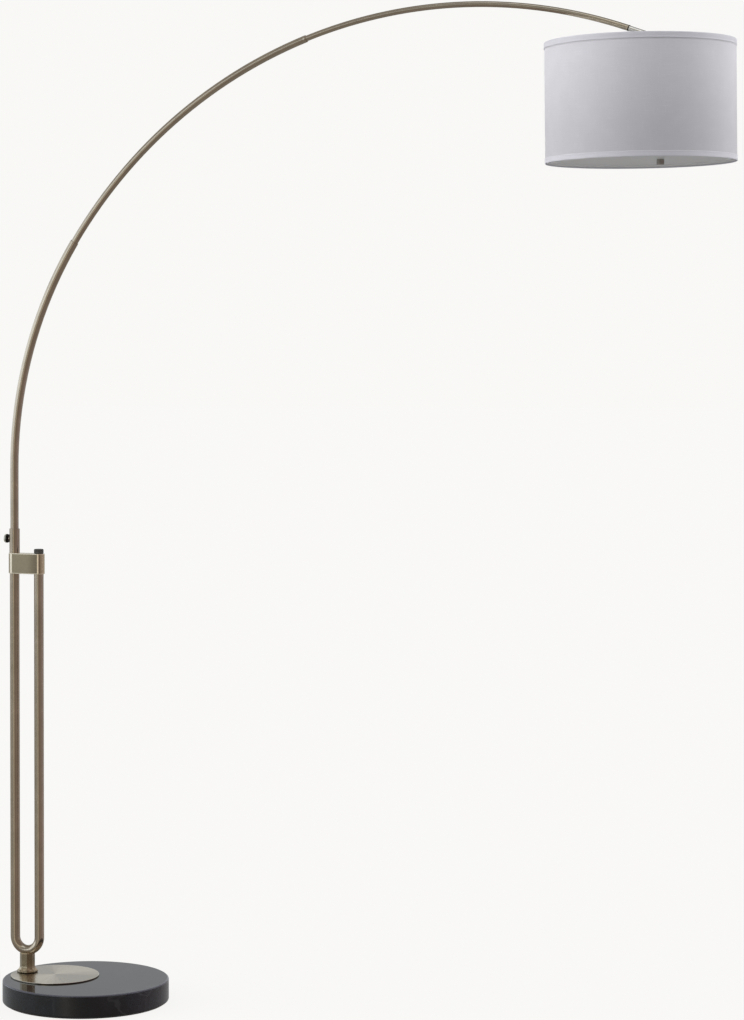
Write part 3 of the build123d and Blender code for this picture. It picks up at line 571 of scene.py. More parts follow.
@dataclass(frozen=True)
class Linen(Finish):
    """A plain weave with slubs, read from the piece's own map, which is in metres; it may be painted darker
    towards the foot and with shadow lines, as painted shade.
    """

    colour: Colour = (0.80, 0.795, 0.825)
    thread: float = 0.00062
    depth: float = 0.00022
    contrast: float = 0.10
    shadow_lines: tuple[float, ...] = ()
    shadow_line_depth: float = 0.5
    # painted shade: how much darker the cloth is painted towards its foot
    fade: float = 0.0
    height: float = 0.25

    def material(self) -> bpy.types.Material:
        """Builds the finish."""
        g = Surface(self.name)
        sheet = g.out(g.node("ShaderNodeUVMap", {"uv_map": "cloth"}))
        u, v, _ = g.split(sheet)
        wobble = (g.noise(sheet, 160.0, 2.0) - 0.5) * 1.6
        warp = g.math("SINE", u * (math.pi / self.thread) + wobble)
        weft = g.math("SINE", v * (math.pi / self.thread) - wobble)
        over = (warp * weft) > 0.0
        height = g.choose(over, warp * warp, weft * weft)
        long_slub = g.noise(g.join(u * 26.0, v * 900.0), 1.0, 2.0)
        tall_slub = g.noise(g.join(u * 900.0, v * 26.0), 1.0, 2.0)
        slub = g.within(long_slub, 0.5, 0.82) + g.within(tall_slub, 0.52, 0.85)
        blotch = g.noise(sheet, 22.0, 2.0)
        tone = height * 0.34 + slub * 0.26 + blotch * 0.3 + over * 0.06
        colour = g.blend(g.within(tone, 0.1, 0.8), shade(self.colour, 1.0 - self.contrast),
                         shade(self.colour, 1.0 + self.contrast * 0.35))
        # painted shade: darker towards the foot of the cloth
        if self.fade > 0.0:
            darker = g.blend(self.fade, colour, (0.0, 0.0, 0.0))
            colour = g.blend(g.within(v, 0.0, self.height), darker, colour)
        # painted shadow lines just under the hem
        for shadow_line in self.shadow_lines:
            line = g.within(g.math("ABSOLUTE", v - shadow_line), 0.0004, 0.0017, 1.0, 0.0)
            colour = g.blend(line * self.shadow_line_depth, colour, shade(self.colour, 0.62))
        bumped = g.bump(height * 0.7 + slub * 0.8, 0.35, self.depth)
        return g.close(Base_Color=colour, Roughness=0.88, Normal=bumped, Sheen_Weight=0.12,
                       Sheen_Roughness=0.5, Specular_IOR_Level=0.2)


@dataclass(frozen=True)
class FrostedAcrylic(Finish):
    """A milky plastic disc with a finely etched face and a painted lighter ring near its edge."""

    colour: Colour = (0.73, 0.735, 0.72)
    centre: tuple[float, float] = (0.0, 0.0)
    radius: float = 0.194
    # colour of the painted light near the disc's edge
    rim: Colour = (0.9, 0.905, 0.89)

    def material(self) -> bpy.types.Material:
        """Builds the finish."""
        g = Surface(self.name)
        place = g.place()
        x, y, _ = g.split(place)
        over, back = x - self.centre[0], y - self.centre[1]
        # painted light: the disc is painted lighter near its edge
        rim = g.within(g.reach(over, back), self.radius - 0.016, self.radius - 0.005)
        etch = g.noise(place, 1500.0, 2.0)
        haze = g.noise(place, 18.0, 3.0)
        body = g.blend(haze * 0.5 + etch * 0.2, shade(self.colour, 0.93), shade(self.colour, 1.05))
        colour = g.blend(rim * 0.6, body, self.rim)
        roughness = (etch - 0.5) * 0.1 + 0.42
        return g.close(Base_Color=colour, Roughness=roughness, Normal=g.bump(etch, 0.12, 0.0001),
                       IOR=1.49, Subsurface_Weight=0.15, Subsurface_Scale=0.003)


@dataclass(frozen=True)
class Moulded(Finish):
    """Plastic, glaze or enamel: an even body with a fine texture."""

    colour: Colour = (0.85, 0.84, 0.82)
    roughness: float = 0.4
    texture: float = 500.0
    relief: float = 0.1
    coat: float = 0.0

    def material(self) -> bpy.types.Material:
        """Builds the finish."""
        g = Surface(self.name)
        place = g.place()
        grain = g.noise(place, self.texture, 3.0, 0.6)
        flow = g.noise(place, 45.0, 2.0)
        colour = g.blend(flow * 0.6 + grain * 0.4, shade(self.colour, 0.88), shade(self.colour, 1.08))
        roughness = (grain - 0.5) * 0.1 + (flow - 0.5) * 0.06 + self.roughness
        return g.close(Base_Color=colour, Roughness=roughness, Normal=g.bump(grain, self.relief, 0.0002),
                       Coat_Weight=self.coat, Coat_Roughness=0.08)


# ---------------------------------------------------------------- mesh helpers


def new_piece(name: str, mesh: bpy.types.Mesh, finish: bpy.types.Material | None) -> bpy.types.Object:
    """Links a mesh as an object at the origin.

    Args:
        name: The piece's name.
        mesh: Its mesh, already in the frame's axes.
        finish: The one material it gets, if any.

    Returns:
        The object.
    """
    piece = bpy.data.objects.new(name, mesh)
    bpy.context.scene.collection.objects.link(piece)
    if finish is not None:
        mesh.materials.clear()
        mesh.materials.append(finish)
    return piece


def smooth(mesh: bpy.types.Mesh, sharp_degrees: float = 35.0) -> None:
    """Shades a mesh smooth, apart from edges sharper than this."""
    made = bmesh.new()
    made.from_mesh(mesh)
    for face in made.faces:
        face.smooth = True
    for edge in made.edges:
        if len(edge.link_faces) == 2:
            edge.smooth = edge.calc_face_angle(0.0) < math.radians(sharp_degrees)
    made.to_mesh(mesh)
    made.free()


def lathe(name: str, profile: Profile, place: Matrix, segments: int = 192,
          closed: bool = True) -> bpy.types.Mesh:
    """Turns a profile about its own z axis into a closed mesh with a map in metres.

    Args:
        name: The mesh's name.
        profile: Radius and height pairs; an open profile starts and ends on the axis.
        place: Where the profile's axis stands in the frame.
        segments: How many steps go round.
        closed: Whether the profile's last point joins its first.

    Returns:
        The mesh, with a map named "cloth": the way round, then the way along the profile.
    """
    made = bmesh.new()
    layer = made.loops.layers.uv.new("cloth")
    count = len(profile)
    rings = []
    for radius, height in profile:
        if radius == 0.0:
            rings.append([made.verts.new(place @ Vector((0.0, 0.0, height)))])
            continue
        ring = []
        for step in range(segments):
            angle = 2.0 * math.pi * step / segments
            local = Vector((radius * math.cos(angle), radius * math.sin(angle), height))
            ring.append(made.verts.new(place @ local))
        rings.append(ring)
    widest = max(radius for radius, _ in profile)
    runs = [0.0]
    for index in range(count if closed else count - 1):
        (r0, z0), (r1, z1) = profile[index], profile[(index + 1) % count]
        runs.append(runs[-1] + math.hypot(r1 - r0, z1 - z0))
    for index in range(count if closed else count - 1):
        first, second = rings[index], rings[(index + 1) % count]
        for step in range(segments):
            after = (step + 1) % segments
            corners = [(first[step % len(first)], step, index),
                       (first[after % len(first)], step + 1, index),
                       (second[after % len(second)], step + 1, index + 1),
                       (second[step % len(second)], step, index + 1)]
            if len(first) == 1:
                corners.pop(1)
            elif len(second) == 1:
                corners.pop(2)
            face = made.faces.new([vert for vert, _, _ in corners])
            for loop, (_, turn, run) in zip(face.loops, corners):
                loop[layer].uv = (2.0 * math.pi * widest * turn / segments, runs[run])
    bmesh.ops.recalc_face_normals(made, faces=made.faces)
    mesh = bpy.data.meshes.new(name)
    made.to_mesh(mesh)
    made.free()
    smooth(mesh)
    return mesh


@dataclass
class RibTree:
    """Geometry Nodes that set a row of ribs round a turned body."""

    name: str = "ribs_round_a_body"
    rib_sides: int = 8

    def build(self) -> bpy.types.GeometryNodeTree:
        """Builds the tree, with its sizes as named inputs."""
        tree = bpy.data.node_groups.new(self.name, "GeometryNodeTree")
        face = tree.interface
        face.new_socket("Geometry", in_out="INPUT", socket_type="NodeSocketGeometry")
        for label, kind in (("Count", "NodeSocketInt"), ("Radius", "NodeSocketFloat"),
                            ("Height", "NodeSocketFloat"), ("Rib Radius", "NodeSocketFloat"),
                            ("Middle", "NodeSocketVector"), ("Turn", "NodeSocketVector"),
                            ("Finish", "NodeSocketMaterial")):
            face.new_socket(label, in_out="INPUT", socket_type=kind)
        face.new_socket("Geometry", in_out="OUTPUT", socket_type="NodeSocketGeometry")
        add, link = tree.nodes.new, tree.links.new
        given, result = add("NodeGroupInput"), add("NodeGroupOutput")
        circle = add("GeometryNodeMeshCircle")
        link(given.outputs["Count"], circle.inputs["Vertices"])
        link(given.outputs["Radius"], circle.inputs["Radius"])
        rib = add("GeometryNodeMeshCylinder")
        rib.inputs["Vertices"].default_value = self.rib_sides
        link(given.outputs["Rib Radius"], rib.inputs["Radius"])
        link(given.outputs["Height"], rib.inputs["Depth"])
        ribs = add("GeometryNodeInstanceOnPoints")
        link(circle.outputs["Mesh"], ribs.inputs["Points"])
        link(rib.outputs["Mesh"], ribs.inputs["Instance"])
        real = add("GeometryNodeRealizeInstances")
        placed = add("GeometryNodeTransform")
        link(ribs.outputs["Instances"], real.inputs[0])
        link(real.outputs[0], placed.inputs["Geometry"])
        link(given.outputs["Middle"], placed.inputs["Translation"])
        link(given.outputs["Turn"], placed.inputs["Rotation"])
        both = add("GeometryNodeJoinGeometry")
        link(placed.outputs[0], both.inputs[0])
        link(given.outputs["Geometry"], both.inputs[0])
        made_real = add("GeometryNodeRealizeInstances")
        link(both.outputs[0], made_real.inputs[0])
        dressed = add("GeometryNodeSetMaterial")
        link(made_real.outputs[0], dressed.inputs["Geometry"])
        link(given.outputs["Finish"], dressed.inputs["Material"])
        link(dressed.outputs[0], result.inputs[0])
        return tree


def grown(name: str, body: bpy.types.Mesh, tree: bpy.types.GeometryNodeTree,
          sizes: dict[str, Any]) -> bpy.types.Mesh:
    """Runs a Geometry Nodes tree on a mesh.

    Args:
        name: The result's name.
        body: The mesh that the tree starts from.
        tree: The tree.
        sizes: A value for each of its named inputs.

    Returns:
        The result as a plain mesh.
    """
    carrier = bpy.data.objects.new(name + "_carrier", body)
    bpy.context.scene.collection.objects.link(carrier)
    modifier = carrier.modifiers.new("grown", "NODES")
    modifier.node_group = tree
    for item in tree.interface.items_tree:
        if item.in_out == "INPUT" and item.name in sizes:
            modifier[item.identifier] = sizes[item.name]
    bpy.context.view_layer.update()
    graph = bpy.context.evaluated_depsgraph_get()
    mesh = bpy.data.meshes.new_from_object(carrier.evaluated_get(graph))
    mesh.name = name
    bpy.data.objects.remove(carrier)
    return mesh


# ---------------------------------------------------------------- the lamp


class SubAssembly:
    """One group of pieces: it dresses CAD nodes and may build its own pieces."""

    def finishes(self) -> dict[Finish, tuple[str, ...]]:
        """The CAD nodes that each finish goes on."""
        return {}

    def dress(self) -> None:
        """Puts each finish on its CAD nodes."""
        for finish, nodes in self.finishes().items():
            made = finish.material()
            for node in nodes:
                for slot in frame["nodes"][node].material_slots:
                    slot.material = made
                LOG.info("%s on %s", finish.name, node)

    def build(self) -> None:
        """Makes this group's own pieces."""

    @staticmethod
    def add(piece: bpy.types.Object, body: str, slot: str, *nodes: str) -> bpy.types.Object:
        """Puts a piece on its body.

        Args:
            piece: The piece.
            body: The body it rides on.
            slot: The record's slot that its finish stands for; not used.
            nodes: The CAD nodes it takes the place of.

        Returns:
            The piece.
        """
        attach(piece, body)
        if nodes:
            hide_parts(*nodes)
        LOG.info("%s rides on %s", piece.name, body)
        return piece


@dataclass
class Base(SubAssembly):
    """The slab, its plate and pad, and what holds the neck down."""

    def finishes(self) -> dict[Finish, tuple[str, ...]]:
        """The CAD nodes that each finish goes on."""
        low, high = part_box("base_plate")
        middle = (low + high) / 2
        slab_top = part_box("marble_base")[1]
        # the plate carries a painted sheen fan, a painted edge highlight and painted shade on its side
        turned = TurnedBrass("turned_brass", "brushed_brass", centre=(middle.x, middle.y),
                             radius=high.x - middle.x, top=high.z)
        # the slab carries a painted highlight along its top arris
        marble = PolishedMarble("black_marble", "black_marble", radius=slab_top.x, top=slab_top.z)
        return {
            PressedFelt("felt", "felt"): ("felt_pad",),
            marble: ("marble_base",),
            turned: ("base_plate",),
            SatinMetal("zinc_base", "zinc_steel", ZINC, 0.36): ("base_stud", "stud_washer", "stud_nut"),
            Moulded("gland_plastic", "black_plastic", BLACK_PLASTIC, 0.5): ("cord_gland",),
        }


@dataclass
class Pole(SubAssembly):
    """The neck, the fork's two legs, the bracket and the collar."""

    bracket_end: float = 0.0135
    screw_ribs: int = 30
    screw_rib: float = 0.00062
    screw_head: float = 0.009
    screw_shank: float = 0.0025
    knob_ribs: int = 44
    knob_rib: float = 0.00042
    knob_bore: float = 0.0076
    knob_recess: float = 0.0022
    knob_roof: float = 0.0019
    shaft_bore: float = 0.00302
    segments: int = 96

    def finishes(self) -> dict[Finish, tuple[str, ...]]:
        """The CAD nodes that each finish goes on."""
        neck, (low, high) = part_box("neck_casting"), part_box("bracket")
        # the neck's brass carries painted shade at its foot and painted highlights
        cast = CastNeck("brass_cast", "antique_brass", Grain.NONE, (0.33, 0.275, 0.19), 0.26, streaks=60.0,
                        foot=neck[0].z, top=neck[1].z)
        # the bracket's brass carries painted shade and painted highlights
        level = BracketWithPaintedLight("brass_level", "antique_brass", Grain.LEVEL, (0.43, 0.38, 0.265), 0.24,
                              middle=(low.x + high.x) / 2, flat=(high.x - low.x) / 2 - self.bracket_end,
                              low=low.z, high=high.z)
        return {
            AntiqueBrass("brass_upright", "antique_brass"): ("fork_tube", "collar"),
            cast: ("neck_casting",),
            level: ("bracket",),
            SatinMetal("screw_bronze", "dark_bronze", (0.09, 0.085, 0.075), 0.4, 0.8): ("bracket_screws",),
            Moulded("bush_plastic", "black_plastic", BLACK_PLASTIC, 0.45): (
                "guide_bush", "leg_cap", "dimmer_body"),
            SatinMetal("zinc_nut", "zinc_steel", ZINC, 0.34): ("dimmer_nut", "dimmer_shaft"),
            Moulded("clear_sleeve", "clear_cable", (0.62, 0.56, 0.42), 0.3, 300.0): (
                "mains_cable", "switched_cable", "arc_cable"),
        }

    def build(self) -> None:
        """Makes the thumbscrew and the dimmer knob, both ribbed round their rims."""
        tree = RibTree().build()
        self._thumbscrew(tree)
        self._knob(tree)

    def _thumbscrew(self, tree: bpy.types.GeometryNodeTree) -> None:
        """A dished head with a ribbed rim on a plain shank, about an axis along -X."""
        low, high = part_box("thumbscrew")
        middle, reach, radius = (low + high) / 2, high.x - low.x, (high.z - low.z) / 2
        head, shank = self.screw_head, self.screw_shank
        stand = Matrix.Translation((high.x, middle.y, middle.z)) @ Matrix.Rotation(-math.pi / 2, 4, "Y")
        body = radius - 0.0005
        profile: Profile = [
            (0.0, 0.0), (shank - 0.0004, 0.0), (shank, 0.0004), (shank, reach - head),
            (body - 0.0012, reach - head), (body, reach - head + 0.0010), (body, reach - 0.0016),
            (body - 0.0005, reach - 0.0006), (body - 0.0016, reach), (body - 0.0026, reach - 0.0003),
            (body - 0.0034, reach - 0.0012), (0.0, reach - 0.0015),
        ]
        mesh = lathe("thumbscrew_body", profile, stand, self.segments, closed=False)
        # the head's inner half is painted as shade
        metal = ShadedScrewHead("thumb_metal", "antique_brass", (0.72, 0.74, 0.66), 0.42, split=low.x + head * 0.55)
        finish = metal.material()
        ribs = grown("thumbscrew_ribbed", mesh, tree, {
            "Count": self.screw_ribs, "Radius": body, "Height": head - 0.0042, "Rib Radius": self.screw_rib,
            "Middle": Vector((low.x + head / 2 - 0.0003, middle.y, middle.z)),
            "Turn": Vector((0.0, math.pi / 2, 0.0)), "Finish": finish})
        self.add(new_piece("thumbscrew_ribbed", ribs, finish), "thumbscrew", "antique_brass", "thumbscrew")

    def _knob(self, tree: bpy.types.GeometryNodeTree) -> None:
        """A finely ribbed knob with a dished top, hollow over the nut and the shaft."""
        low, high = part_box("dimmer_knob")
        middle, radius, tall = (low + high) / 2, (high.x - low.x) / 2, high.z - low.z
        bore, recess, shaft, roof = self.knob_bore, self.knob_recess, self.shaft_bore, tall - self.knob_roof
        body = radius - 0.0004
        profile: Profile = [
            (0.0, tall - 0.0006), (body - 0.0030, tall - 0.0006), (body - 0.0022, tall),
            (body - 0.0008, tall), (body, tall - 0.0008), (body, 0.0006), (body - 0.0005, 0.0),
            (bore, 0.0), (bore, recess), (shaft, recess), (shaft, roof), (0.0, roof),
        ]
        stand = Matrix.Translation((middle.x, middle.y, low.z))
        mesh = lathe("dimmer_knob_body", profile, stand, self.segments, closed=False)
        dark = SatinMetal("knob_bronze", "dark_bronze", (0.13, 0.13, 0.122), 0.42, 0.7).material()
        ribs = grown("dimmer_knob_ribbed", mesh, tree, {
            "Count": self.knob_ribs, "Radius": body, "Height": tall - 0.0024, "Rib Radius": self.knob_rib,
            "Middle": middle, "Turn": Vector((0.0, 0.0, 0.0)), "Finish": dark})
        self.add(new_piece("dimmer_knob_ribbed", ribs, dark), "dimmer", "dark_bronze", "dimmer_knob")


@dataclass
class Arc(SubAssembly):
    """The three stepped tubes and the stem at the tip."""

    first_bend: float = 0.943
    second_bend: float = 1.112
    bend_start: float = 1.224
    lower_turn: float = math.radians(33.2)

    def finishes(self) -> dict[Finish, tuple[str, ...]]:
        """The CAD nodes that each finish goes on."""
        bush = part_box("guide_bush")
        foot_x = bush[0].x / 2 + bush[1].x / 2
        first = (foot_x + self.first_bend, self.bend_start)
        gap = self.second_bend - self.first_bend
        second = (first[0] + gap * math.cos(self.lower_turn), first[1] - gap * math.sin(self.lower_turn))
        return {
            AntiqueBrass("brass_lower", "antique_brass", Grain.FIRST_BEND, bend_centre=first): (
                "lower_tube",),
            AntiqueBrass("brass_upper", "antique_brass", Grain.SECOND_BEND, bend_centre=second): (
                "middle_tube", "connector_tube", "upper_tube", "tube_coupling"),
            SatinMetal("dome_screw", "satin_nickel", (0.66, 0.62, 0.52), 0.24): ("arc_set_screws",),
            SatinMetal("ring_bronze", "dark_bronze", (0.07, 0.065, 0.055), 0.4, 0.7): ("tip_ring",),
            SatinMetal("stem_nickel", "satin_nickel", (0.80, 0.79, 0.76), 0.11, unevenness=0.3): (
                "swivel_stem",),
        }


@dataclass
class Shade(SubAssembly):
    """The head: fittings, bulbs, diffuser, and the linen drum with its liner and hem tapes."""

    tilt: float = math.radians(1.09)
    offset: float = -0.042
    radius: float = 0.2032
    wall_radius: float = 0.2020
    cloth: float = 0.0006
    liner: float = 0.00055
    top: float = -0.005
    foot: float = -0.259
    top_hem: float = 0.0127
    foot_hem: float = 0.0115
    inner_band: float = 0.0095
    roll: float = 0.0023
    overlap: float = 0.012
    rim_gap: float = 0.00115
    liner_gap: float = 0.00002
    rows: int = 12
    segments: int = 256

    def finishes(self) -> dict[Finish, tuple[str, ...]]:
        """The CAD nodes that each finish goes on."""
        low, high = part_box("diffuser")
        middle = (low + high) / 2
        return {
            SatinMetal("pivot_nickel", "satin_nickel", (0.72, 0.71, 0.68), 0.26): (
                "swivel_yoke", "swivel_screw", "centre_rod", "diffuser_washers", "cluster_body"),
            SatinMetal("zinc_head", "zinc_steel", ZINC, 0.36): ("swivel_nut", "head_nipple", "rod_nuts"),
            Moulded("wire_coat", "white_wire", (0.84, 0.84, 0.82), 0.35, 700.0): (
                "shade_spider", "foot_ring"),
            SatinMetal("shell_brass", "brass_contact", (0.72, 0.56, 0.31), 0.25): (
                "socket_shell_front", "socket_shell_back", "socket_contact_front", "socket_contact_back"),
            Moulded("core_porcelain", "porcelain", (0.84, 0.82, 0.77), 0.18, 200.0, 0.05, 0.5): (
                "socket_core_front", "socket_core_back"),
            SatinMetal("cap_nickel", "satin_nickel", (0.68, 0.67, 0.64), 0.28): (
                "bulb_cap_front", "bulb_cap_back"),
            Moulded("opal_glass", "opal_glass", (0.9, 0.89, 0.86), 0.12, 120.0, 0.03, 0.6): (
                "bulb_glass_front", "bulb_glass_back"),
            # the diffuser is painted lighter near its edge
            FrostedAcrylic("frosted_acrylic", "frosted_acrylic", centre=(middle.x, middle.y)): ("diffuser",),
            SatinMetal("finial_metal", "antique_brass", (0.42, 0.40, 0.37), 0.5): ("finial",),
        }

    def stand(self) -> Matrix:
        """Where the drum's axis stands: its origin level with the tilt pin."""
        pin = next(joint["pos_m"] for joint in frame["joints"] if joint["name"] == "head_tilt")
        turn = Matrix.Rotation(-self.tilt, 4, "Y")
        return Matrix.Translation(pin) @ turn @ Matrix.Translation((self.offset, 0.0, 0.0))

    def _tape(self, rim: float, way: float, height: float) -> Profile:
        """The outline of a tape folded over a rim.

        Args:
            rim: The rim's height on the drum's axis.
            way: 1 for the foot, whose tape runs up from the rim, and -1 for the top.
            height: How wide the tape's outer band is.

        Returns:
            The outline, with a small rolled edge along the outer band.
        """
        wall, out = self.wall_radius, self.radius
        inner = wall - self.cloth - self.liner
        rows = [
            (wall + 0.00008, height), (wall + 0.0006, height + 0.0001), (out - 0.0001, height - 0.0003),
            (out, height - 0.0010), (out - 0.0002, height - 0.0018), (out - 0.0004, height - 0.0026),
            (out - 0.0003, height * 0.5), (out - 0.0003, 0.0020), (out - 0.0005, 0.0008),
            (out - 0.0010, 0.0002), (wall, 0.0), (inner - 0.0001, 0.0001), (inner - 0.00045, 0.0007),
            (inner - 0.0005, 0.0016), (inner - 0.0005, self.inner_band), (inner - 0.00006, self.inner_band),
            (inner - 0.00006, 0.0010), (wall + 0.00008, 0.0010),
        ]
        return [(radius, rim + way * rise) for radius, rise in rows]

    def build(self) -> None:
        """Makes the drum's cloth, liner, back seam and hem tapes."""
        stand = self.stand()
        # where the painted shadow line under the top hem falls; the cloth is also painted darker towards its
        # foot
        shadow_line = self.top - self.foot - self.roll - self.top_hem - 0.0005
        linen = Linen("linen", "white_linen", (0.765, 0.757, 0.795), shadow_lines=(shadow_line,), fade=0.2).material()
        tape = Linen("linen_tape", "white_linen", (0.71, 0.70, 0.75), 0.0005, 0.00015, 0.06).material()
        liner = Moulded("liner_styrene", "white_linen", (0.86, 0.86, 0.85), 0.42, 60.0, 0.04).material()
        low, high = self.foot + self.rim_gap, self.top - self.rim_gap
        wall, cloth_in = self.wall_radius, self.wall_radius - self.cloth
        outer = [(wall, low + (high - low) * step / self.rows) for step in range(self.rows + 1)]
        inner = [(cloth_in, high - (high - low) * step / self.rows) for step in range(self.rows + 1)]
        sheet = lathe("shade_cloth", outer + inner, stand, self.segments)
        cloth = self.add(new_piece("shade_cloth", sheet, linen), "head", "white_linen", "shade_drum")
        liner_out = cloth_in - self.liner_gap
        liner_in = liner_out - self.liner
        band = [(liner_out, low), (liner_out, high), (liner_in, high), (liner_in, low)]
        lining = lathe("shade_liner", band, stand, self.segments)
        self.add(new_piece("shade_liner", lining, liner), "head", "white_linen")
        seam = self.add(self._seam(stand, low, high, linen), "head", "white_linen")
        for name, rim, way, height in (("top_hem_tape", self.top, -1.0, self.top_hem),
                                       ("foot_hem_tape", self.foot, 1.0, self.foot_hem)):
            mesh = lathe(name + "_folded", self._tape(rim, way, height), stand, self.segments)
            self.add(new_piece(name + "_folded", mesh, tape), "head", "white_linen", name)

    def _seam(self, stand: Matrix, low: float, high: float, finish: bpy.types.Material) -> bpy.types.Object:
        """The cloth's lap at the back of the drum, one layer thick.

        Args:
            stand: Where the drum's axis stands.
            low: The cloth's lower edge on that axis.
            high: Its upper edge.
            finish: The cloth's finish.

        Returns:
            The lap, between the two hem tapes.
        """
        made = bmesh.new()
        layer = made.loops.layers.uv.new("cloth")
        steps = 6
        inside, outside = self.wall_radius + 0.00002, self.wall_radius + 0.0005
        low, high = low + self.foot_hem, high - self.top_hem
        half = self.overlap / 2 / self.wall_radius
        across = []
        for step in range(steps + 1):
            share = step / steps
            angle = math.pi / 2 - half + 2 * half * share
            lift = outside if 0 < step < steps else outside - 0.0002
            across.append((angle, lift))
        loop = [(angle, lift) for angle, lift in across] + [(angle, inside) for angle, _ in reversed(across)]
        rings = []
        for height in (low, high):
            ring = []
            for angle, radius in loop:
                local = Vector((radius * math.cos(angle), radius * math.sin(angle), height))
                ring.append(made.verts.new(stand @ local))
            rings.append(ring)
        count = len(loop)
        for index in range(count):
            after = (index + 1) % count
            made.faces.new((rings[0][index], rings[0][after], rings[1][after], rings[1][index]))
        made.faces.new(list(reversed(rings[0])))
        made.faces.new(rings[1])
        back = stand.inverted()
        for face in made.faces:
            for corner in face.loops:
                local = back @ corner.vert.co
                corner[layer].uv = (math.atan2(local.y, local.x) * self.wall_radius, local.z)
        bmesh.ops.recalc_face_normals(made, faces=made.faces)
        mesh = bpy.data.meshes.new("shade_seam")
        made.to_mesh(mesh)
        made.free()
        smooth(mesh)
        return new_piece("shade_seam", mesh, finish)


# ---------------------------------------------------------------- studio


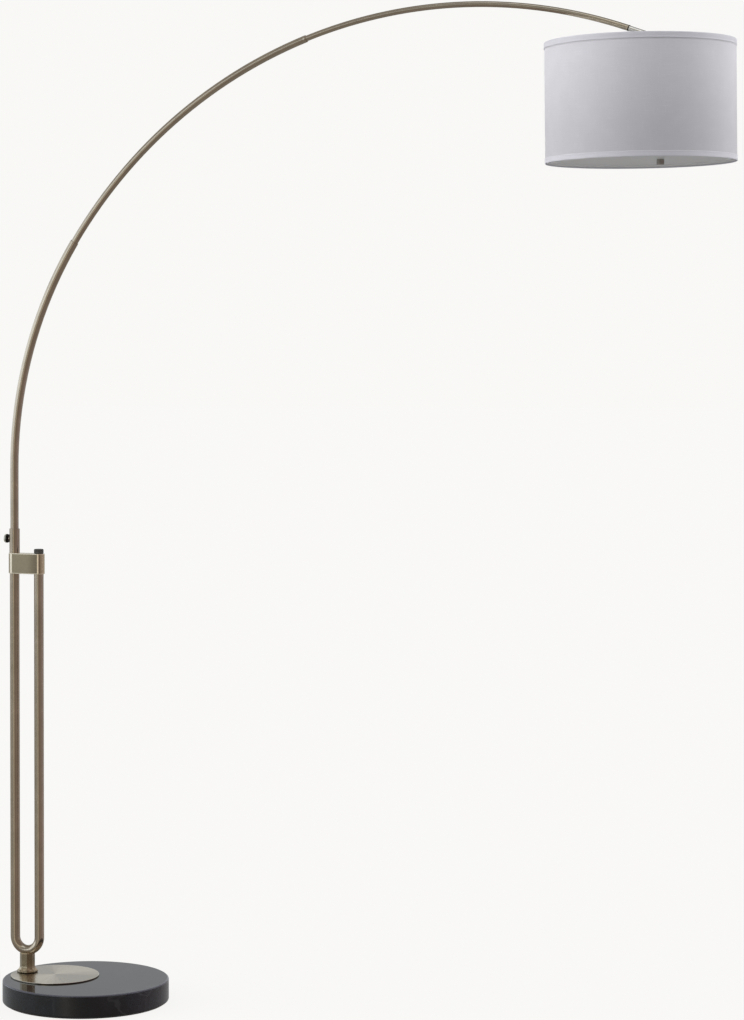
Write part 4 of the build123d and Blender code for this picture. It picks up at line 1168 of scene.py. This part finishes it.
@dataclass
class Studio:
    """The floor, the light all round, and the camera."""

    backdrop: Colour = (0.947, 0.939, 0.922)
    window: Colour = (1.36, 1.48, 1.60)
    ceiling: Colour = (0.78, 0.78, 0.8)
    eye: Point = (2.9702, -6.1047, 1.5215)
    lens: float = 104.79
    right: Point = (0.93704, 0.34919, 0.00492)
    up: Point = (-0.02453, 0.05176, 0.99836)
    back: Point = (0.34852, -0.93555, 0.05724)
    clip_end: float = 200.0
    floor_radius: float = 60.0
    floor_glow: float = 0.915
    floor_colour: float = 0.08
    floor_bounce: float = 0.34

    def build(self) -> None:
        """Makes the camera, the floor and the world."""
        self._camera()
        self._floor()
        self._world()
        view = bpy.context.scene.view_settings
        view.view_transform = "Standard"
        view.look = "None"

    def _camera(self) -> None:
        """A long lens at standing height, in front and to the right."""
        data = bpy.data.cameras.new("camera")
        data.lens = self.lens
        data.sensor_width = 36.0
        data.clip_end = self.clip_end
        camera = bpy.data.objects.new("camera", data)
        camera.matrix_world = Matrix.Translation(self.eye) @ Matrix(
            (self.right, self.up, self.back)).transposed().to_4x4()
        bpy.context.scene.collection.objects.link(camera)
        bpy.context.scene.camera = camera

    def _floor(self) -> None:
        """A wide pale disc that glows a little, so that it meets the backdrop."""
        made = bmesh.new()
        bmesh.ops.create_circle(made, cap_ends=True, segments=96, radius=self.floor_radius)
        mesh = bpy.data.meshes.new("floor")
        made.to_mesh(mesh)
        made.free()
        surface = Surface("floor_paint")
        seen = surface.out(surface.node("ShaderNodeLightPath"), "Is Camera Ray")
        glow = surface.out(surface.node("ShaderNodeEmission", None, {
            "Color": (*self.backdrop, 1.0), "Strength": seen * self.floor_glow}))
        share = surface.choose(seen, self.floor_bounce, self.floor_colour)
        paint = surface.out(surface.node("ShaderNodeBsdfDiffuse", None, {
            "Color": surface.join(share, share, share)}))
        both = surface.out(surface.node("ShaderNodeAddShader", None, {0: glow, 1: paint}))
        surface.node("ShaderNodeOutputMaterial", None, {"Surface": both})
        floor = new_piece("floor", mesh, surface.material)
        floor.visible_glossy = False

    def _world(self) -> None:
        """Soft light by direction: bright at the left, dim in front, fair at the right and above."""
        world = bpy.data.worlds.new("studio")
        bpy.context.scene.world = world
        world.use_nodes = True
        g = Graph(world.node_tree)
        x, y, z = g.split(g.out(g.node("ShaderNodeTexCoord"), "Generated"))
        facing = math.atan2(self.back[1], self.back[0])
        turn = g.math("FRACT", (g.math("ARCTAN2", y, x) - facing) / (2 * math.pi) + 1.0)
        rise = g.math("ARCSINE", z) / (math.pi / 2)

        def ring(*stops: tuple[float, Colour]) -> Term:
            """A colour by degrees from the camera's side, rightwards."""
            return g.ramp(turn, [(degrees / 360.0, colour) for degrees, colour in stops])

        def patch(value: Term, start: float, stop: float, blur: float) -> Term:
            """1 between two values, easing out over a blur at each."""
            return g.band(value, start - blur, start + blur, stop - blur, stop + blur)

        dim, warm_strip, under = (0.31, 0.28, 0.24), (0.9, 0.82, 0.69), (0.34, 0.33, 0.31)
        low_ring = ring(
            (0, dim), (14, (0.29, 0.235, 0.195)), (30, (0.355, 0.275, 0.255)), (48, (0.33, 0.285, 0.25)),
            (66, (0.35, 0.285, 0.285)), (90, (0.43, 0.355, 0.37)), (120, (0.45, 0.40, 0.40)),
            (150, (0.50, 0.48, 0.48)), (180, (0.56, 0.57, 0.58)), (215, (0.48, 0.5, 0.5)),
            (250, (0.44, 0.43, 0.41)), (284, (0.42, 0.395, 0.37)), (318, (0.37, 0.365, 0.34)),
            (329, (0.37, 0.365, 0.34)), (333, warm_strip), (341, warm_strip), (346, (0.42, 0.37, 0.32)),
            (360, dim))
        beside = patch(turn, 0.61, 0.88, 0.02) * patch(rise, -0.035, 0.155, 0.025)
        higher = patch(turn, 0.61, 0.845, 0.025) * patch(rise, 0.15, 0.265, 0.025) * 0.6
        above = patch(turn, 0.83, 0.965, 0.03) * patch(rise, 0.56, 0.84, 0.05) * 0.8
        windows = g.math("MAXIMUM", beside, g.math("MAXIMUM", higher, above))
        gloss = g.blend(windows, low_ring, self.window)
        behind = patch(turn, 0.36, 0.62, 0.03) * g.within(rise, 0.34, 0.46)
        gloss = g.blend(behind, gloss, (0.30, 0.28, 0.26))
        gloss = g.blend(g.within(rise, 0.82, 0.92), gloss, (0.5, 0.5, 0.5))
        gloss = g.blend(g.within(rise, -0.31, -0.2, 1.0, 0.0), gloss, (0.31, 0.27, 0.245))
        gloss = g.blend(g.within(rise, -0.8, -0.5, 1.0, 0.0), gloss, under)
        soft_round = ring(*[(degrees, (value,) * 3) for degrees, value in (
            (0, 0.35), (12, 0.15), (60, 0.15), (72, 1.6), (85, 4.4), (100, 5.8), (115, 4.3),
            (130, 1.8), (145, 0.9), (225, 0.9), (250, 1.1), (260, 2.7), (270, 4.2), (280, 4.7),
            (290, 4.2), (300, 2.9), (320, 1.0), (340, 0.55), (360, 0.35))])
        soft = g.blend(g.within(rise, 0.25, 0.42), soft_round, self.ceiling)
        path = g.node("ShaderNodeLightPath")
        lit = g.blend(g.out(path, "Is Glossy Ray"), soft, gloss)
        seen = g.blend(g.out(path, "Is Camera Ray"), lit, self.backdrop)
        light = g.out(g.node("ShaderNodeBackground", None, {"Color": seen, "Strength": 1.0}))
        g.node("ShaderNodeOutputWorld", None, {"Surface": light})


def main() -> None:
    """Builds the studio and the lamp, group by group."""
    logging.basicConfig(level=logging.INFO, format="%(name)s: %(message)s")
    Studio().build()
    for group in (Base(), Pole(), Arc(), Shade()):
        group.dress()
        group.build()
        LOG.info("%s done", type(group).__name__)


if __name__ == "__main__":
    main()
